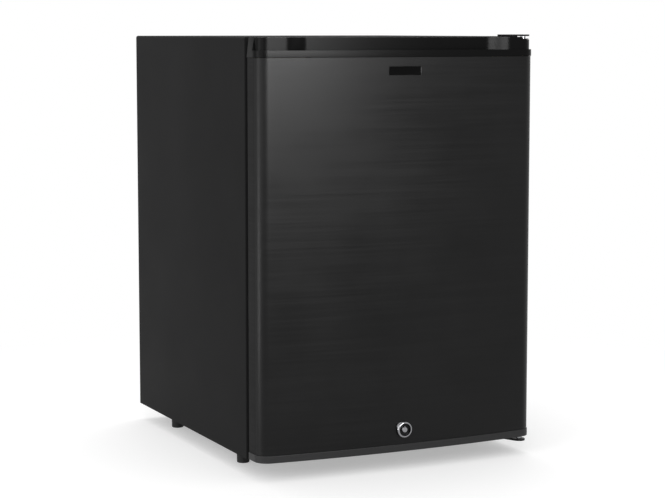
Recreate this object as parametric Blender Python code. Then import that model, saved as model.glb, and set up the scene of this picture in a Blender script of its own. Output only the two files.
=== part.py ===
"""A small absorption minibar fridge with a bowed, lockable door, standing on four slim feet.

Metres, +Z up. The front faces -Y, the door hangs on the right (+X), and the origin lies on the
floor under the middle of the whole fridge.
"""

import math

import bmesh
import bpy
from mathutils import Matrix, Vector

# Cabinet
BODY_WIDTH = 0.402
BODY_HEIGHT = 0.543
BODY_DEPTH = 0.406
FOOT_HEIGHT = 0.0235
SHEET = 0.001
SHELL_BEND = 0.003
LINER_WALL = 0.002
SIDE_WALL = 0.035
TOP_WALL = 0.038
FLOOR_WALL = 0.067
REAR_WALL = 0.038
REAR_SPACE = 0.094
TRIM_WIDTH = 0.0055
TRIM_THICKNESS = 0.0012

# Gaps between pieces
TOUCH = 0.0003
SLIDING = 0.0007

# Door
DOOR_GAP = 0.009
DOOR_THICKNESS = 0.045
DOOR_BOW_RADIUS = 1.842
DOOR_CORNER_RADIUS = 0.018
DOOR_TOP_DROP = 0.0006
DOOR_BOTTOM_LIFT = 0.0018
TOP_CAP_HEIGHT = 0.0255
LIP_HEIGHT = 0.009
BAND_INSET = 0.002
BOTTOM_CAP_HEIGHT = 0.010
CAP_PROUD = 0.0008
CAP_WALL = 0.002
GRIP_HALF_WIDTH = 0.130
GRIP_EASE = 0.034
GRIP_DEPTH = 0.0135
GRIP_POCKET_DEPTH = 0.014
LIP_WALL = 0.0035
GASKET_WIDTH = 0.014
GASKET_INSET = 0.001
DIKE_HEIGHT = 0.018
DIKE_WIDTH = 0.012
DIKE_MARGIN = 0.0035
DIKE_SIDE_MARGIN = 0.010

# Door racks
RACK_DEPTH = 0.068
RACK_WALL = 0.002
UPPER_RACK_HEIGHT = 0.055
UPPER_RACK_LEVEL = 0.255
LOWER_RACK_HEIGHT = 0.080
LOWER_RACK_CLEARANCE = 0.003
LUG_LEVEL = 0.018
LUG_HEIGHT = 0.006
LUG_WIDTH = 0.008
LUG_REACH = 0.0025
LUG_SETBACK = 0.010

# Hinges
HINGE_SIDE_INSET = 0.011
HINGE_SETBACK = 0.021
HINGE_PLATE = 0.0022
HINGE_PLATE_WIDTH = 0.030
HINGE_PLATE_EDGE = 0.003
HINGE_FLANGE = 0.016
HINGE_DROP = 0.0035
HINGE_EYE_RADIUS = 0.0085
PIN_RADIUS = 0.0035
BUSH_RADIUS = 0.006
BUSH_LENGTH = 0.0085
FLANGE_RADIUS = 0.0075
FLANGE_THICKNESS = 0.0012
NOTCH_DEPTH = 0.0035
NOTCH_REACH = 0.012
SCREW_SPREAD = 0.016
SCREW_LEVEL = 0.0075
SCREW_RADIUS = 0.002
SCREW_HEAD_RADIUS = 0.004
SCREW_HEAD_DEPTH = 0.0018
SCREW_LENGTH = 0.012

# Lock
LOCK_HEIGHT = 0.0292
LOCK_PROUD = 0.0045
BEZEL_RADIUS = 0.011
BEZEL_FACE_RADIUS = 0.008
BEZEL_RIM = 0.0012
BARREL_RADIUS = 0.009
PLUG_RADIUS = 0.006
KEY_POST_RADIUS = 0.0035
KEYWAY_RADIUS = 0.0052
KEYWAY_DEPTH = 0.005
EAR_RADIUS = 0.0064
EAR_OFFSET = (-0.005, 0.0042)
EAR_PROUD = 0.0028
NUT_ACROSS_FLATS = 0.024
NUT_THICKNESS = 0.0025
CAM_LENGTH = 0.020
CAM_WIDTH = 0.011
CAM_THICKNESS = 0.0016
STUB_WIDTH = 0.005
SMALL_SCREW_RADIUS = 0.0015
SMALL_SCREW_HEAD_RADIUS = 0.004
SMALL_SCREW_HEAD = 0.0018
SMALL_SCREW_LENGTH = 0.006
KEEPER_WIDTH = 0.016
KEEPER_SHEET = 0.0013
KEEPER_LIP = 0.010
KEEPER_FOOT = 0.018
KEEPER_CLEARANCE = 0.003
KEEPER_SCREW_HEAD = 0.0013

# Badge
BADGE_WIDTH = 0.046
BADGE_HEIGHT = 0.011
BADGE_THICKNESS = 0.0012
BADGE_DROP = 0.0435

# Feet
FOOT_RADIUS = 0.009
FOOT_TAPER = 0.0006
FOOT_SIDE_INSET = 0.029
FOOT_END_INSET = 0.080
STUD_RADIUS = 0.004
STUD_SEAT = 0.010
STUD_RISE = 0.030
COLLAR_RADIUS = 0.008
COLLAR_HEIGHT = 0.010
PEG_RADIUS = 0.003
PEG_RISE = 0.006

# Shelves and drip tray
WIRE_RADIUS = 0.0025
CROSS_WIRE_RADIUS = 0.0015
CROSS_WIRE_COUNT = 11
CROSS_WIRE_SINK = 0.0008
SHELF_CORNER = 0.010
SHELF_FRONT = 0.075
SHELF_REAR_GAP = 0.004
LOWER_SHELF_LEVEL = 0.133
SPARE_SHELF_LEVEL = 0.183
UPPER_SHELF_LEVEL = 0.233
RIB_REACH = 0.008
RIB_THICKNESS = 0.003
RIB_FRONT = 0.012
TRAY_LEVEL = 0.125
TRAY_DEPTH = 0.098
TRAY_HEIGHT = 0.014
TRAY_WALL = 0.0015
TRAY_FLANGE = 0.002

# Cooling unit
EVAPORATOR_WIDTH = 0.200
EVAPORATOR_HEIGHT = 0.098
EVAPORATOR_DROP = 0.010
EVAPORATOR_BASE = 0.004
FIN_DEPTH = 0.025
FIN_THICKNESS = 0.002
FIN_COUNT = 15
PLUG_MARGIN = 0.005
COLD_TUBE_RADIUS = 0.007
COLD_TUBE_BEND = 0.015
COLD_TUBE_HALF_SPAN = 0.070
COLD_TUBE_SETBACK = 0.013
CONDENSER_DROP = 0.052
CONDENSER_RADIUS = 0.008
CONDENSER_HALF_LENGTH = 0.110
RISER_STRAIGHT = 0.005
DISC_RADIUS = 0.025
DISC_THICKNESS = 0.0012
DISC_COUNT = 10
DISC_PITCH = 0.018
UNIT_SETBACK = 0.045
RETURN_LOOP_DROP = 0.045
BOILER_X = 0.128
BOILER_RADIUS = 0.034
BOILER_LOW = 0.080
BOILER_HEIGHT = 0.235
BOILER_CHAMFER = 0.003
VESSEL_X = -0.040
VESSEL_LENGTH = 0.250
VESSEL_RADIUS = 0.030
VESSEL_WALL = 0.003
VESSEL_LEVEL = 0.058
VESSEL_CHAMFER = 0.008
EXCHANGER_RADIUS = 0.011
COIL_RADIUS = 0.0065
COIL_WALL = 0.0015
COIL_LEFT = -0.160
COIL_RUNS = 5
COIL_PITCH = 0.050
COIL_LIFT = 0.030
CHANNEL_LEVEL = 0.362
CHANNEL_HEIGHT = 0.020
CHANNEL_THICKNESS = 0.002
CHANNEL_HALF_LENGTH = 0.150
TERMINAL_SIZE = (0.030, 0.034, 0.060)
TERMINAL_LEVEL = 0.340
TERMINAL_EDGE = 0.004
GLAND_RADIUS = 0.007
GLAND_WALL = 0.0024
GLAND_LENGTH = 0.012

# Thermostat and lamp on the right wall inside
CONTROL_FRONT = 0.095
CONTROL_LENGTH = 0.100
CONTROL_HEIGHT = 0.060
CONTROL_DEPTH = 0.030
CONTROL_DROP = 0.025
CONTROL_WALL = 0.002
KNOB_RADIUS = 0.015
KNOB_GRIP_RADIUS = 0.0135
KNOB_HEIGHT = 0.012
KNOB_RIM = 0.003
KNOB_INSET = 0.025
SPINDLE_RADIUS = 0.003
SPINDLE_REACH = 0.008
THERMOSTAT_SIZE = (0.018, 0.030, 0.034)
LENS_LENGTH = 0.042
LENS_HEIGHT = 0.036
LENS_THICKNESS = 0.003
LENS_INSET = 0.070
BOARD_THICKNESS = 0.0016
BOARD_STANDOFF = 0.010
REED_SIZE = (0.020, 0.006, 0.007)
REED_X = -0.060
REED_DROP = 0.013

# How many sides round pieces have
FINE_SIDES = 28
ROUND_SIDES = 18
SMALL_SIDES = 14

# Places that follow from the sizes above
HALF = BODY_WIDTH / 2
REAR_Y = (BODY_DEPTH + DOOR_GAP + DOOR_THICKNESS + LOCK_PROUD) / 2
FRONT_Y = REAR_Y - BODY_DEPTH
BODY_LOW = FOOT_HEIGHT
BODY_TOP = FOOT_HEIGHT + BODY_HEIGHT
BOX_REAR_Y = REAR_Y - REAR_SPACE
ROOM_HALF = HALF - SIDE_WALL
ROOM_LOW = BODY_LOW + FLOOR_WALL
ROOM_TOP = BODY_TOP - TOP_WALL
ROOM_REAR_Y = BOX_REAR_Y - REAR_WALL
DOOR_BACK_Y = FRONT_Y - DOOR_GAP
DOOR_FRONT_Y = DOOR_BACK_Y - DOOR_THICKNESS
DOOR_LOW = BODY_LOW + DOOR_BOTTOM_LIFT
DOOR_TOP = BODY_TOP - DOOR_TOP_DROP
SKIN_LOW = DOOR_LOW + BOTTOM_CAP_HEIGHT
SKIN_TOP = DOOR_TOP - TOP_CAP_HEIGHT
LIP_TOP = SKIN_TOP + LIP_HEIGHT
HINGE_X = HALF - HINGE_SIDE_INSET
HINGE_Y = DOOR_BACK_Y - HINGE_SETBACK
HINGE_RIGHT = HALF - HINGE_PLATE_EDGE
HINGE_LEFT = HINGE_RIGHT - HINGE_PLATE_WIDTH
HINGE_REAR_Y = FRONT_Y - TOUCH
DIKE_HALF = ROOM_HALF - DIKE_SIDE_MARGIN
RACK_HALF_WIDTH = DIKE_HALF - DIKE_WIDTH - SLIDING - TOUCH
LOWER_RACK_LEVEL = DIKE_MARGIN + DIKE_WIDTH + LOWER_RACK_CLEARANCE
LOCK_Z = DOOR_LOW + LOCK_HEIGHT
UNIT_Y = BOX_REAR_Y + UNIT_SETBACK
EVAPORATOR_TOP = ROOM_TOP - EVAPORATOR_DROP
EVAPORATOR_LOW = EVAPORATOR_TOP - EVAPORATOR_HEIGHT
CONDENSER_Z = BODY_TOP - CONDENSER_DROP
CONTROL_TOP = ROOM_TOP - CONTROL_DROP
CONTROL_LOW = CONTROL_TOP - CONTROL_HEIGHT
CONTROL_FACE_X = ROOM_HALF - TOUCH - CONTROL_DEPTH
CONTROL_FRONT_Y = FRONT_Y + CONTROL_FRONT

# How far cutters run past what they cut, and how near points must be to merge
BEYOND = 0.02
MERGE = 1e-6

# Finishes: colour, roughness, metallic
BLACK_PAINT = ((0.030, 0.030, 0.032), 0.55, 0.0)
DARK_BRUSHED = ((0.060, 0.060, 0.063), 0.32, 0.8)
BLACK_PLASTIC = ((0.018, 0.018, 0.019), 0.40, 0.0)
WHITE_PLASTIC = ((0.820, 0.830, 0.830), 0.35, 0.0)
GREY_RUBBER = ((0.080, 0.080, 0.082), 0.75, 0.0)
CLEAR_PLASTIC = ((0.750, 0.800, 0.820), 0.15, 0.0)
FOAM = ((0.780, 0.700, 0.480), 0.90, 0.0)
ZINC = ((0.620, 0.620, 0.600), 0.35, 1.0)
CHROME = ((0.720, 0.720, 0.730), 0.12, 1.0)
DARK_STEEL = ((0.050, 0.050, 0.052), 0.45, 0.6)
ALUMINIUM = ((0.760, 0.770, 0.780), 0.35, 1.0)
WHITE_WIRE = ((0.800, 0.800, 0.790), 0.40, 0.0)
NYLON = ((0.700, 0.690, 0.650), 0.50, 0.0)
GREEN_BOARD = ((0.060, 0.250, 0.120), 0.50, 0.0)


def start_empty():
    """Remove what the scene holds."""
    for old in list(bpy.data.objects):
        bpy.data.objects.remove(old)


def finished(bm, name):
    """Make a named object of a bmesh, with its faces pointing out."""
    bmesh.ops.recalc_face_normals(bm, faces=bm.faces)
    mesh = bpy.data.meshes.new(name)
    bm.to_mesh(mesh)
    bm.free()
    obj = bpy.data.objects.new(name, mesh)
    bpy.context.scene.collection.objects.link(obj)
    return obj


def dress(obj, finish, smooth=True):
    """Give a piece its own material, and smooth its round faces."""
    colour, roughness, metallic = finish
    material = bpy.data.materials.new(obj.name)
    material.use_nodes = True
    shader = material.node_tree.nodes["Principled BSDF"]
    shader.inputs["Base Color"].default_value = (*colour, 1.0)
    shader.inputs["Roughness"].default_value = roughness
    shader.inputs["Metallic"].default_value = metallic
    obj.data.materials.clear()
    obj.data.materials.append(material)
    if smooth:
        obj.data.shade_smooth()
        obj.data.set_sharp_from_angle(angle=math.radians(30))
    return obj


def block(name, low, high):
    """A box between two corners, with its origin at its centre."""
    low, high = Vector(low), Vector(high)
    bm = bmesh.new()
    bmesh.ops.create_cube(bm, size=1.0, matrix=Matrix.Diagonal((*(high - low), 1.0)))
    obj = finished(bm, name)
    obj.location = (low + high) / 2
    return obj


def prism(name, outline, low, high, along="Z"):
    """A flat outline pushed along X, Y or Z; its points are the other two coordinates, in order."""
    place = {
        "X": lambda a, b: (low, a, b),
        "Y": lambda a, b: (a, low, b),
        "Z": lambda a, b: (a, b, low),
    }[along]
    push = {"X": (1, 0, 0), "Y": (0, 1, 0), "Z": (0, 0, 1)}[along]
    bm = bmesh.new()
    base = bm.faces.new([bm.verts.new(place(a, b)) for a, b in outline])
    grown = bmesh.ops.extrude_face_region(bm, geom=[base])["geom"]
    ends = [v for v in grown if isinstance(v, bmesh.types.BMVert)]
    bmesh.ops.translate(bm, verts=ends, vec=Vector(push) * (high - low))
    return finished(bm, name)


def turned(name, profile, sides=ROUND_SIDES, ring=False):
    """A round piece: (radius, height) points swept about the local Z axis; a ring closes on itself."""
    bm = bmesh.new()
    points = [bm.verts.new((radius, 0.0, height)) for radius, height in profile]
    pairs = list(zip(points, points[1:]))
    if ring:
        pairs.append((points[-1], points[0]))
    edges = [bm.edges.new(pair) for pair in pairs]
    bmesh.ops.spin(
        bm, geom=points + edges, axis=(0, 0, 1), angle=math.tau, steps=sides, use_merge=True
    )
    bmesh.ops.remove_doubles(bm, verts=bm.verts, dist=MERGE)
    bmesh.ops.dissolve_verts(bm, verts=[v for v in bm.verts if v.co.xy.length < MERGE])
    return finished(bm, name)


def drum(name, radius, low, high, sides=ROUND_SIDES):
    """A plain cylinder on the local Z axis."""
    return turned(name, [(0, low), (radius, low), (radius, high), (0, high)], sides)


def rounded_path(corners, bend, steps=4):
    """The corners of a route, each square turn replaced by an arc."""
    corners = [Vector(corner) for corner in corners]
    path = [corners[0]]
    for before, here, after in zip(corners, corners[1:], corners[2:]):
        into = (before - here).normalized()
        out = (after - here).normalized()
        centre = here + (into + out) * bend
        for k in range(steps + 1):
            turn = k / steps * math.pi / 2
            path.append(centre - (out * math.cos(turn) + into * math.sin(turn)) * bend)
    path.append(corners[-1])
    return path


def tube(name, path, radius, fineness=2, closed=False):
    """A solid round bar along a path, as a mesh with flat ends."""
    curve = bpy.data.curves.new(name, "CURVE")
    curve.dimensions = "3D"
    curve.bevel_depth = radius
    curve.bevel_resolution = fineness
    curve.use_fill_caps = not closed
    spline = curve.splines.new("POLY")
    spline.points.add(len(path) - 1)
    for point, place in zip(spline.points, path):
        point.co = (*place, 1.0)
    spline.use_cyclic_u = closed
    bar = bpy.data.objects.new(name, curve)
    bpy.context.scene.collection.objects.link(bar)
    seen = bar.evaluated_get(bpy.context.evaluated_depsgraph_get())
    bm = bmesh.new()
    bm.from_mesh(seen.to_mesh())
    bpy.data.objects.remove(bar)
    bmesh.ops.remove_doubles(bm, verts=bm.verts, dist=MERGE)
    return finished(bm, name)


def combine(target, tool, operation):
    """Join a tool to a piece, or cut it out; the tool stays."""
    step = target.modifiers.new(operation.title(), "BOOLEAN")
    step.operation = operation
    step.solver = "EXACT"
    step.object = tool
    seen = target.evaluated_get(bpy.context.evaluated_depsgraph_get())
    mesh = bpy.data.meshes.new_from_object(seen)
    target.modifiers.clear()
    target.data = mesh


def join(target, *tools):
    """Join tools to a piece and use them up."""
    for tool in tools:
        combine(target, tool, "UNION")
        bpy.data.objects.remove(tool)
    return target


def cut(target, *tools):
    """Cut tools out of a piece and use them up."""
    for tool in tools:
        combine(target, tool, "DIFFERENCE")
        bpy.data.objects.remove(tool)
    return target


def cut_all(targets, tool):
    """Cut one tool out of several pieces and use it up."""
    for target in targets:
        combine(target, tool, "DIFFERENCE")
    bpy.data.objects.remove(tool)


def carry(name, place, pieces, parent=None):
    """An empty on a joint's axis, which carries the pieces that move about it."""
    axis = bpy.data.objects.new(name, None)
    bpy.context.scene.collection.objects.link(axis)
    axis.location = place
    for piece in pieces:
        piece.parent = axis
        piece.location -= Vector(place)
    if parent:
        axis.parent = parent
        axis.location -= parent.location
    return axis


# Outlines shared by pieces that fit each other


def shell_outline(inset, low):
    """The cabinet from the front, in X and Z, with its two bent top edges."""
    side = HALF - inset
    top = BODY_TOP - inset
    bend = SHELL_BEND - inset
    outline = [(-side, low), (side, low)]
    for sign, first in ((1, 0), (-1, 90)):
        for k in range(4):
            turn = math.radians(first + k * 30)
            centre = sign * (side - bend)
            outline.append((centre + bend * math.cos(turn), top - bend + bend * math.sin(turn)))
    return outline


def arc_points(centre, radius, start, end, steps):
    """Points on an arc in plan, angles in radians."""
    turns = [start + (end - start) * k / steps for k in range(steps + 1)]
    return [
        (centre[0] + radius * math.cos(turn), centre[1] + radius * math.sin(turn))
        for turn in turns
    ]


def corner_centre_y():
    """Where the corner arc's centre lies so that it runs smoothly into the bow."""
    reach = DOOR_BOW_RADIUS - DOOR_CORNER_RADIUS
    return bow_centre_y() - math.sqrt(reach**2 - (HALF - DOOR_CORNER_RADIUS) ** 2)


def bow_centre_y():
    return DOOR_FRONT_Y + DOOR_BOW_RADIUS


def bow_y(x, inset):
    """How far forward the bowed front lies at x, moved in by inset."""
    return bow_centre_y() - math.sqrt((DOOR_BOW_RADIUS - inset) ** 2 - x**2)


def door_outline(inset, rear, bow_steps=24):
    """The door in plan, moved in by inset all round but for its straight rear edge."""
    corner = (HALF - DOOR_CORNER_RADIUS, corner_centre_y())
    bow = (0.0, bow_centre_y())
    meet = math.atan2(corner[1] - bow[1], corner[0])
    corner_radius = DOOR_CORNER_RADIUS - inset
    right = arc_points(corner, corner_radius, 0.0, meet, 6)
    front = arc_points(bow, DOOR_BOW_RADIUS - inset, meet, -math.pi - meet, bow_steps)[1:-1]
    left = [(-x, y) for x, y in reversed(right)]
    return [(HALF - inset, rear), *right, *front, *left, (inset - HALF, rear)]


def grip_depth(x):
    """How deep the finger grip is at x: full in the middle, easing out at both ends."""
    past = min(max((abs(x) - GRIP_HALF_WIDTH) / GRIP_EASE, 0.0), 1.0)
    return GRIP_DEPTH * (1 + math.cos(math.pi * past)) / 2


def grip_outline(wall, front_inset):
    """The finger grip in plan, grown by a wall at its back, from a front moved in by an inset."""
    ease_steps = 8
    half = GRIP_HALF_WIDTH + GRIP_EASE
    xs = [-half + GRIP_EASE * k / ease_steps for k in range(ease_steps)]
    xs += [GRIP_HALF_WIDTH * k / 6 for k in range(-6, 7)]
    xs += [half - GRIP_EASE * k / ease_steps for k in reversed(range(ease_steps))]
    back = [(x, bow_y(x, BAND_INSET) + grip_depth(x) + wall) for x in xs]
    return [(x, bow_y(x, front_inset)) for x in reversed(xs)] + back


def hinge_outline():
    """A hinge plate in plan: wide at the cabinet, tapering to a round eye over the pin."""
    corner_y = HINGE_REAR_Y - 2 * HINGE_PLATE
    away = math.hypot(HINGE_LEFT - HINGE_X, corner_y - HINGE_Y)
    toward = math.atan2(corner_y - HINGE_Y, HINGE_LEFT - HINGE_X)
    tangent = toward + math.acos(HINGE_EYE_RADIUS / away) - math.tau
    eye = arc_points((HINGE_X, HINGE_Y), HINGE_EYE_RADIUS, tangent, 0.0, 8)
    return [(HINGE_LEFT, HINGE_REAR_Y), (HINGE_LEFT, corner_y), *eye, (HINGE_RIGHT, HINGE_REAR_Y)]


# Cabinet


def make_shell():
    """The bent steel casing: top, both sides and a narrow front flange."""
    shell = prism("cabinet_shell", shell_outline(0.0, BODY_LOW), FRONT_Y, REAR_Y, "Y")
    pocket = shell_outline(SHEET, BODY_LOW - BEYOND)
    window = ROOM_HALF + LINER_WALL + TOUCH
    window_top = ROOM_TOP + LINER_WALL + TOUCH
    cut(
        shell,
        prism("pocket", pocket, FRONT_Y + SHEET, REAR_Y + BEYOND, "Y"),
        block(
            "window",
            (-window, FRONT_Y - BEYOND, BODY_LOW - BEYOND),
            (window, FRONT_Y + SHEET + BEYOND, window_top),
        ),
    )
    return dress(shell, BLACK_PAINT)


def make_base():
    """The floor panel, folded up at the front below the opening, with a collar for each stud."""
    side = HALF - SHEET - TOUCH
    sill = ROOM_HALF + LINER_WALL
    fold_top = ROOM_LOW - LINER_WALL - TOUCH
    outline = [
        (FRONT_Y, BODY_LOW),
        (REAR_Y, BODY_LOW),
        (REAR_Y, BODY_LOW + SHEET),
        (FRONT_Y + SHEET, BODY_LOW + SHEET),
        (FRONT_Y + SHEET, fold_top),
        (FRONT_Y, fold_top),
    ]
    base = prism("base_panel", outline, -side, side, "X")
    for x in (sill, -side - BEYOND):
        corner = block(
            "corner",
            (x, FRONT_Y - BEYOND, BODY_LOW - BEYOND),
            (x + side + BEYOND - sill, FRONT_Y + SHEET + TOUCH, ROOM_LOW),
        )
        cut(base, corner)
    for x, y in foot_places():
        front = y < 0
        if front:
            collar = drum("collar", COLLAR_RADIUS, SHEET / 2, COLLAR_HEIGHT)
            collar.location = (x, y, BODY_LOW)
            join(base, collar)
        hole = (STUD_RADIUS if front else PEG_RADIUS) + TOUCH
        bore = drum("bore", hole, -BEYOND, BEYOND)
        bore.location = (x, y, BODY_LOW)
        cut(base, bore)
    return dress(base, BLACK_PAINT)


def make_back():
    """The sheet behind the insulation, with a hole for the cooling unit's plug."""
    outline = shell_outline(SHEET + TOUCH, BODY_LOW + SHEET + TOUCH)
    back = prism("back_panel", outline, BOX_REAR_Y - SHEET, BOX_REAR_Y, "Y")
    cut(back, plug_block("hole", TOUCH, ROOM_REAR_Y - BEYOND, BOX_REAR_Y + BEYOND))
    return dress(back, ZINC)


def make_liner():
    """The moulded inner tub, with pairs of ribs that carry the shelves and the tray."""
    wall = LINER_WALL
    liner = block(
        "inner_liner",
        (-ROOM_HALF - wall, FRONT_Y, ROOM_LOW - wall),
        (ROOM_HALF + wall, ROOM_REAR_Y + wall, ROOM_TOP + wall),
    )
    cut(
        liner,
        block(
            "room",
            (-ROOM_HALF, FRONT_Y - BEYOND, ROOM_LOW),
            (ROOM_HALF, ROOM_REAR_Y, ROOM_TOP),
        ),
        plug_block("hole", TOUCH, ROOM_REAR_Y - BEYOND, ROOM_REAR_Y + BEYOND),
    )
    levels = (shelf_z(LOWER_SHELF_LEVEL), shelf_z(SPARE_SHELF_LEVEL), shelf_z(UPPER_SHELF_LEVEL))
    for level in (*levels, tray_z()):
        for side in (-1, 1):
            inner = side * (ROOM_HALF - RIB_REACH)
            outer = side * (ROOM_HALF + wall / 2)
            lower = level - WIRE_RADIUS - TOUCH
            upper = level + WIRE_RADIUS + SLIDING
            for low, high in ((lower - RIB_THICKNESS, lower), (upper, upper + RIB_THICKNESS)):
                rib = block(
                    "rib",
                    (min(inner, outer), FRONT_Y + RIB_FRONT, low),
                    (max(inner, outer), ROOM_REAR_Y + wall / 2, high),
                )
                join(liner, rib)
    return dress(liner, WHITE_PLASTIC)


def make_foam():
    """The foam between the casing and the liner."""
    low = BODY_LOW + SHEET + TOUCH
    outline = shell_outline(SHEET + TOUCH, low)
    foam = prism(
        "cabinet_foam", outline, FRONT_Y + SHEET + TOUCH, BOX_REAR_Y - SHEET - TOUCH, "Y"
    )
    gap = LINER_WALL + TOUCH
    cut(
        foam,
        block(
            "tub",
            (-ROOM_HALF - gap, FRONT_Y - BEYOND, ROOM_LOW - gap),
            (ROOM_HALF + gap, ROOM_REAR_Y + gap, ROOM_TOP + gap),
        ),
        plug_block("hole", TOUCH, ROOM_REAR_Y - BEYOND, BOX_REAR_Y + BEYOND),
    )
    for x, y in foot_places():
        if y < 0:
            room = drum("room", COLLAR_RADIUS + TOUCH, -BEYOND, STUD_RISE + TOUCH)
            room.location = (x, y, BODY_LOW)
            cut(foam, room)
    low, high = reed_corners()
    grown = Vector((TOUCH, TOUCH, TOUCH))
    cut(foam, block("room", Vector(low) - grown - Vector((0, SHEET, 0)), Vector(high) + grown))
    return dress(foam, FOAM)


def plug_block(name, gap, front, rear):
    """The insulated plug's block, grown by a gap."""
    half = EVAPORATOR_WIDTH / 2 - PLUG_MARGIN + gap
    return block(
        name,
        (-half, front, EVAPORATOR_LOW + PLUG_MARGIN - gap),
        (half, rear, EVAPORATOR_TOP - PLUG_MARGIN + gap),
    )


def make_trim():
    """The plastic frame over the joint between the liner and the casing."""
    front = FRONT_Y - TOUCH - TRIM_THICKNESS
    rear = FRONT_Y - TOUCH
    reach = ROOM_HALF + TRIM_WIDTH
    trim = block(
        "opening_trim",
        (-reach, front, ROOM_LOW - TRIM_WIDTH),
        (reach, rear, ROOM_TOP + TRIM_WIDTH),
    )
    opening = block(
        "opening",
        (-ROOM_HALF, front - BEYOND, ROOM_LOW),
        (ROOM_HALF, rear + BEYOND, ROOM_TOP),
    )
    return dress(cut(trim, opening), GREY_RUBBER)


# Feet


def foot_places():
    """The four feet in plan, the front pair first."""
    side = HALF - FOOT_SIDE_INSET
    front = FRONT_Y + FOOT_END_INSET
    rear = REAR_Y - FOOT_END_INSET
    return [(-side, front), (side, front), (-side, rear), (side, rear)]


def make_feet():
    """Two levelling feet at the front, each a pad on a threaded stud, and two plain ones behind."""
    top = FOOT_HEIGHT - TOUCH
    narrow = FOOT_RADIUS - FOOT_TAPER
    socket = STUD_RADIUS + TOUCH
    socket_low = STUD_SEAT - TOUCH
    body = [(0, 0), (narrow, 0), (FOOT_RADIUS, top)]
    pads = []
    studs = []
    rear = []
    for side, (x, y) in zip(("left", "right"), foot_places()[:2]):
        profile = [*body, (socket, top), (socket, socket_low), (0, socket_low)]
        pad = dress(turned(f"foot_pad_front_{side}", profile), BLACK_PLASTIC)
        stud = drum(f"foot_stud_front_{side}", STUD_RADIUS, STUD_SEAT, BODY_LOW + STUD_RISE)
        dress(stud, ZINC)
        pad.location = (x, y, 0)
        stud.location = (x, y, 0)
        pads.append(pad)
        studs.append(stud)
    for side, (x, y) in zip(("left", "right"), foot_places()[2:]):
        peg_top = BODY_LOW + PEG_RISE
        profile = [*body, (PEG_RADIUS, top), (PEG_RADIUS, peg_top), (0, peg_top)]
        foot = dress(turned(f"foot_rear_{side}", profile), BLACK_PLASTIC)
        foot.location = (x, y, 0)
        rear.append(foot)
    return pads, studs, rear


# Shelves, tray and what hangs on the walls


def shelf_z(level):
    return ROOM_LOW + level


def tray_z():
    return ROOM_TOP - TRAY_LEVEL


def make_shelf(name, level):
    """A wire shelf: a round rod frame with finer wires welded across its front and rear rods."""
    side = ROOM_HALF - TOUCH - SLIDING - WIRE_RADIUS
    front = FRONT_Y + SHELF_FRONT + WIRE_RADIUS
    rear = ROOM_REAR_Y - SHELF_REAR_GAP - WIRE_RADIUS
    corners = [(0, front), (side, front), (side, rear), (-side, rear), (-side, front), (0, front)]
    path = rounded_path([(x, y, 0.0) for x, y in corners], SHELF_CORNER)[1:]
    shelf = tube(name, path, WIRE_RADIUS, closed=True)
    height = WIRE_RADIUS + CROSS_WIRE_RADIUS - CROSS_WIRE_SINK
    spread = side - RIB_REACH - SHELF_CORNER / 2
    for k in range(CROSS_WIRE_COUNT):
        x = -spread + 2 * spread * k / (CROSS_WIRE_COUNT - 1)
        wire = [(x, front - WIRE_RADIUS / 2, height), (x, rear + WIRE_RADIUS / 2, height)]
        join(shelf, tube("wire", wire, CROSS_WIRE_RADIUS, 1))
    shelf.location.z = shelf_z(level)
    return dress(shelf, WHITE_WIRE)


def make_tray():
    """The drip tray under the evaporator, on flanges that run in the liner's top ribs."""
    z = tray_z() - WIRE_RADIUS
    side = ROOM_HALF - RIB_REACH - SLIDING
    flange = ROOM_HALF - TOUCH - SLIDING
    rear = ROOM_REAR_Y - SHELF_REAR_GAP
    front = rear - TRAY_DEPTH
    top = z + TRAY_FLANGE
    low = top - TRAY_HEIGHT
    tray = block("drip_tray", (-side, front, low), (side, rear, top))
    join(tray, block("flanges", (-flange, front, z), (flange, rear, top)))
    hollow = block(
        "hollow",
        (TRAY_WALL - side, front + TRAY_WALL, low + TRAY_WALL),
        (side - TRAY_WALL, rear - TRAY_WALL, top + BEYOND),
    )
    return dress(cut(tray, hollow), WHITE_PLASTIC)


def make_control():
    """The thermostat and lamp housing on the right wall, open towards the wall."""
    rear = CONTROL_FRONT_Y + CONTROL_LENGTH
    wall_x = ROOM_HALF - TOUCH
    housing = block(
        "control_housing",
        (CONTROL_FACE_X, CONTROL_FRONT_Y, CONTROL_LOW),
        (wall_x, rear, CONTROL_TOP),
    )
    hollow = block(
        "hollow",
        (CONTROL_FACE_X + CONTROL_WALL, CONTROL_FRONT_Y + CONTROL_WALL, CONTROL_LOW + CONTROL_WALL),
        (wall_x + BEYOND, rear - CONTROL_WALL, CONTROL_TOP - CONTROL_WALL),
    )
    hole = drum("hole", SPINDLE_RADIUS + TOUCH, -BEYOND / 2, BEYOND / 2)
    hole.rotation_euler.y = math.pi / 2
    hole.location = (CONTROL_FACE_X, knob_y(), control_z())
    cut(housing, hollow, hole, lens_block("window", TOUCH))
    return dress(housing, WHITE_PLASTIC)


def knob_y():
    return CONTROL_FRONT_Y + KNOB_INSET


def control_z():
    return (CONTROL_LOW + CONTROL_TOP) / 2


def lens_block(name, gap):
    """The lamp's lens, grown by a gap for its window."""
    y = CONTROL_FRONT_Y + LENS_INSET
    z = control_z()
    along = LENS_LENGTH / 2 + gap
    up = LENS_HEIGHT / 2 + gap
    return block(
        name,
        (CONTROL_FACE_X - gap, y - along, z - up),
        (CONTROL_FACE_X + LENS_THICKNESS + gap, y + along, z + up),
    )


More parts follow.
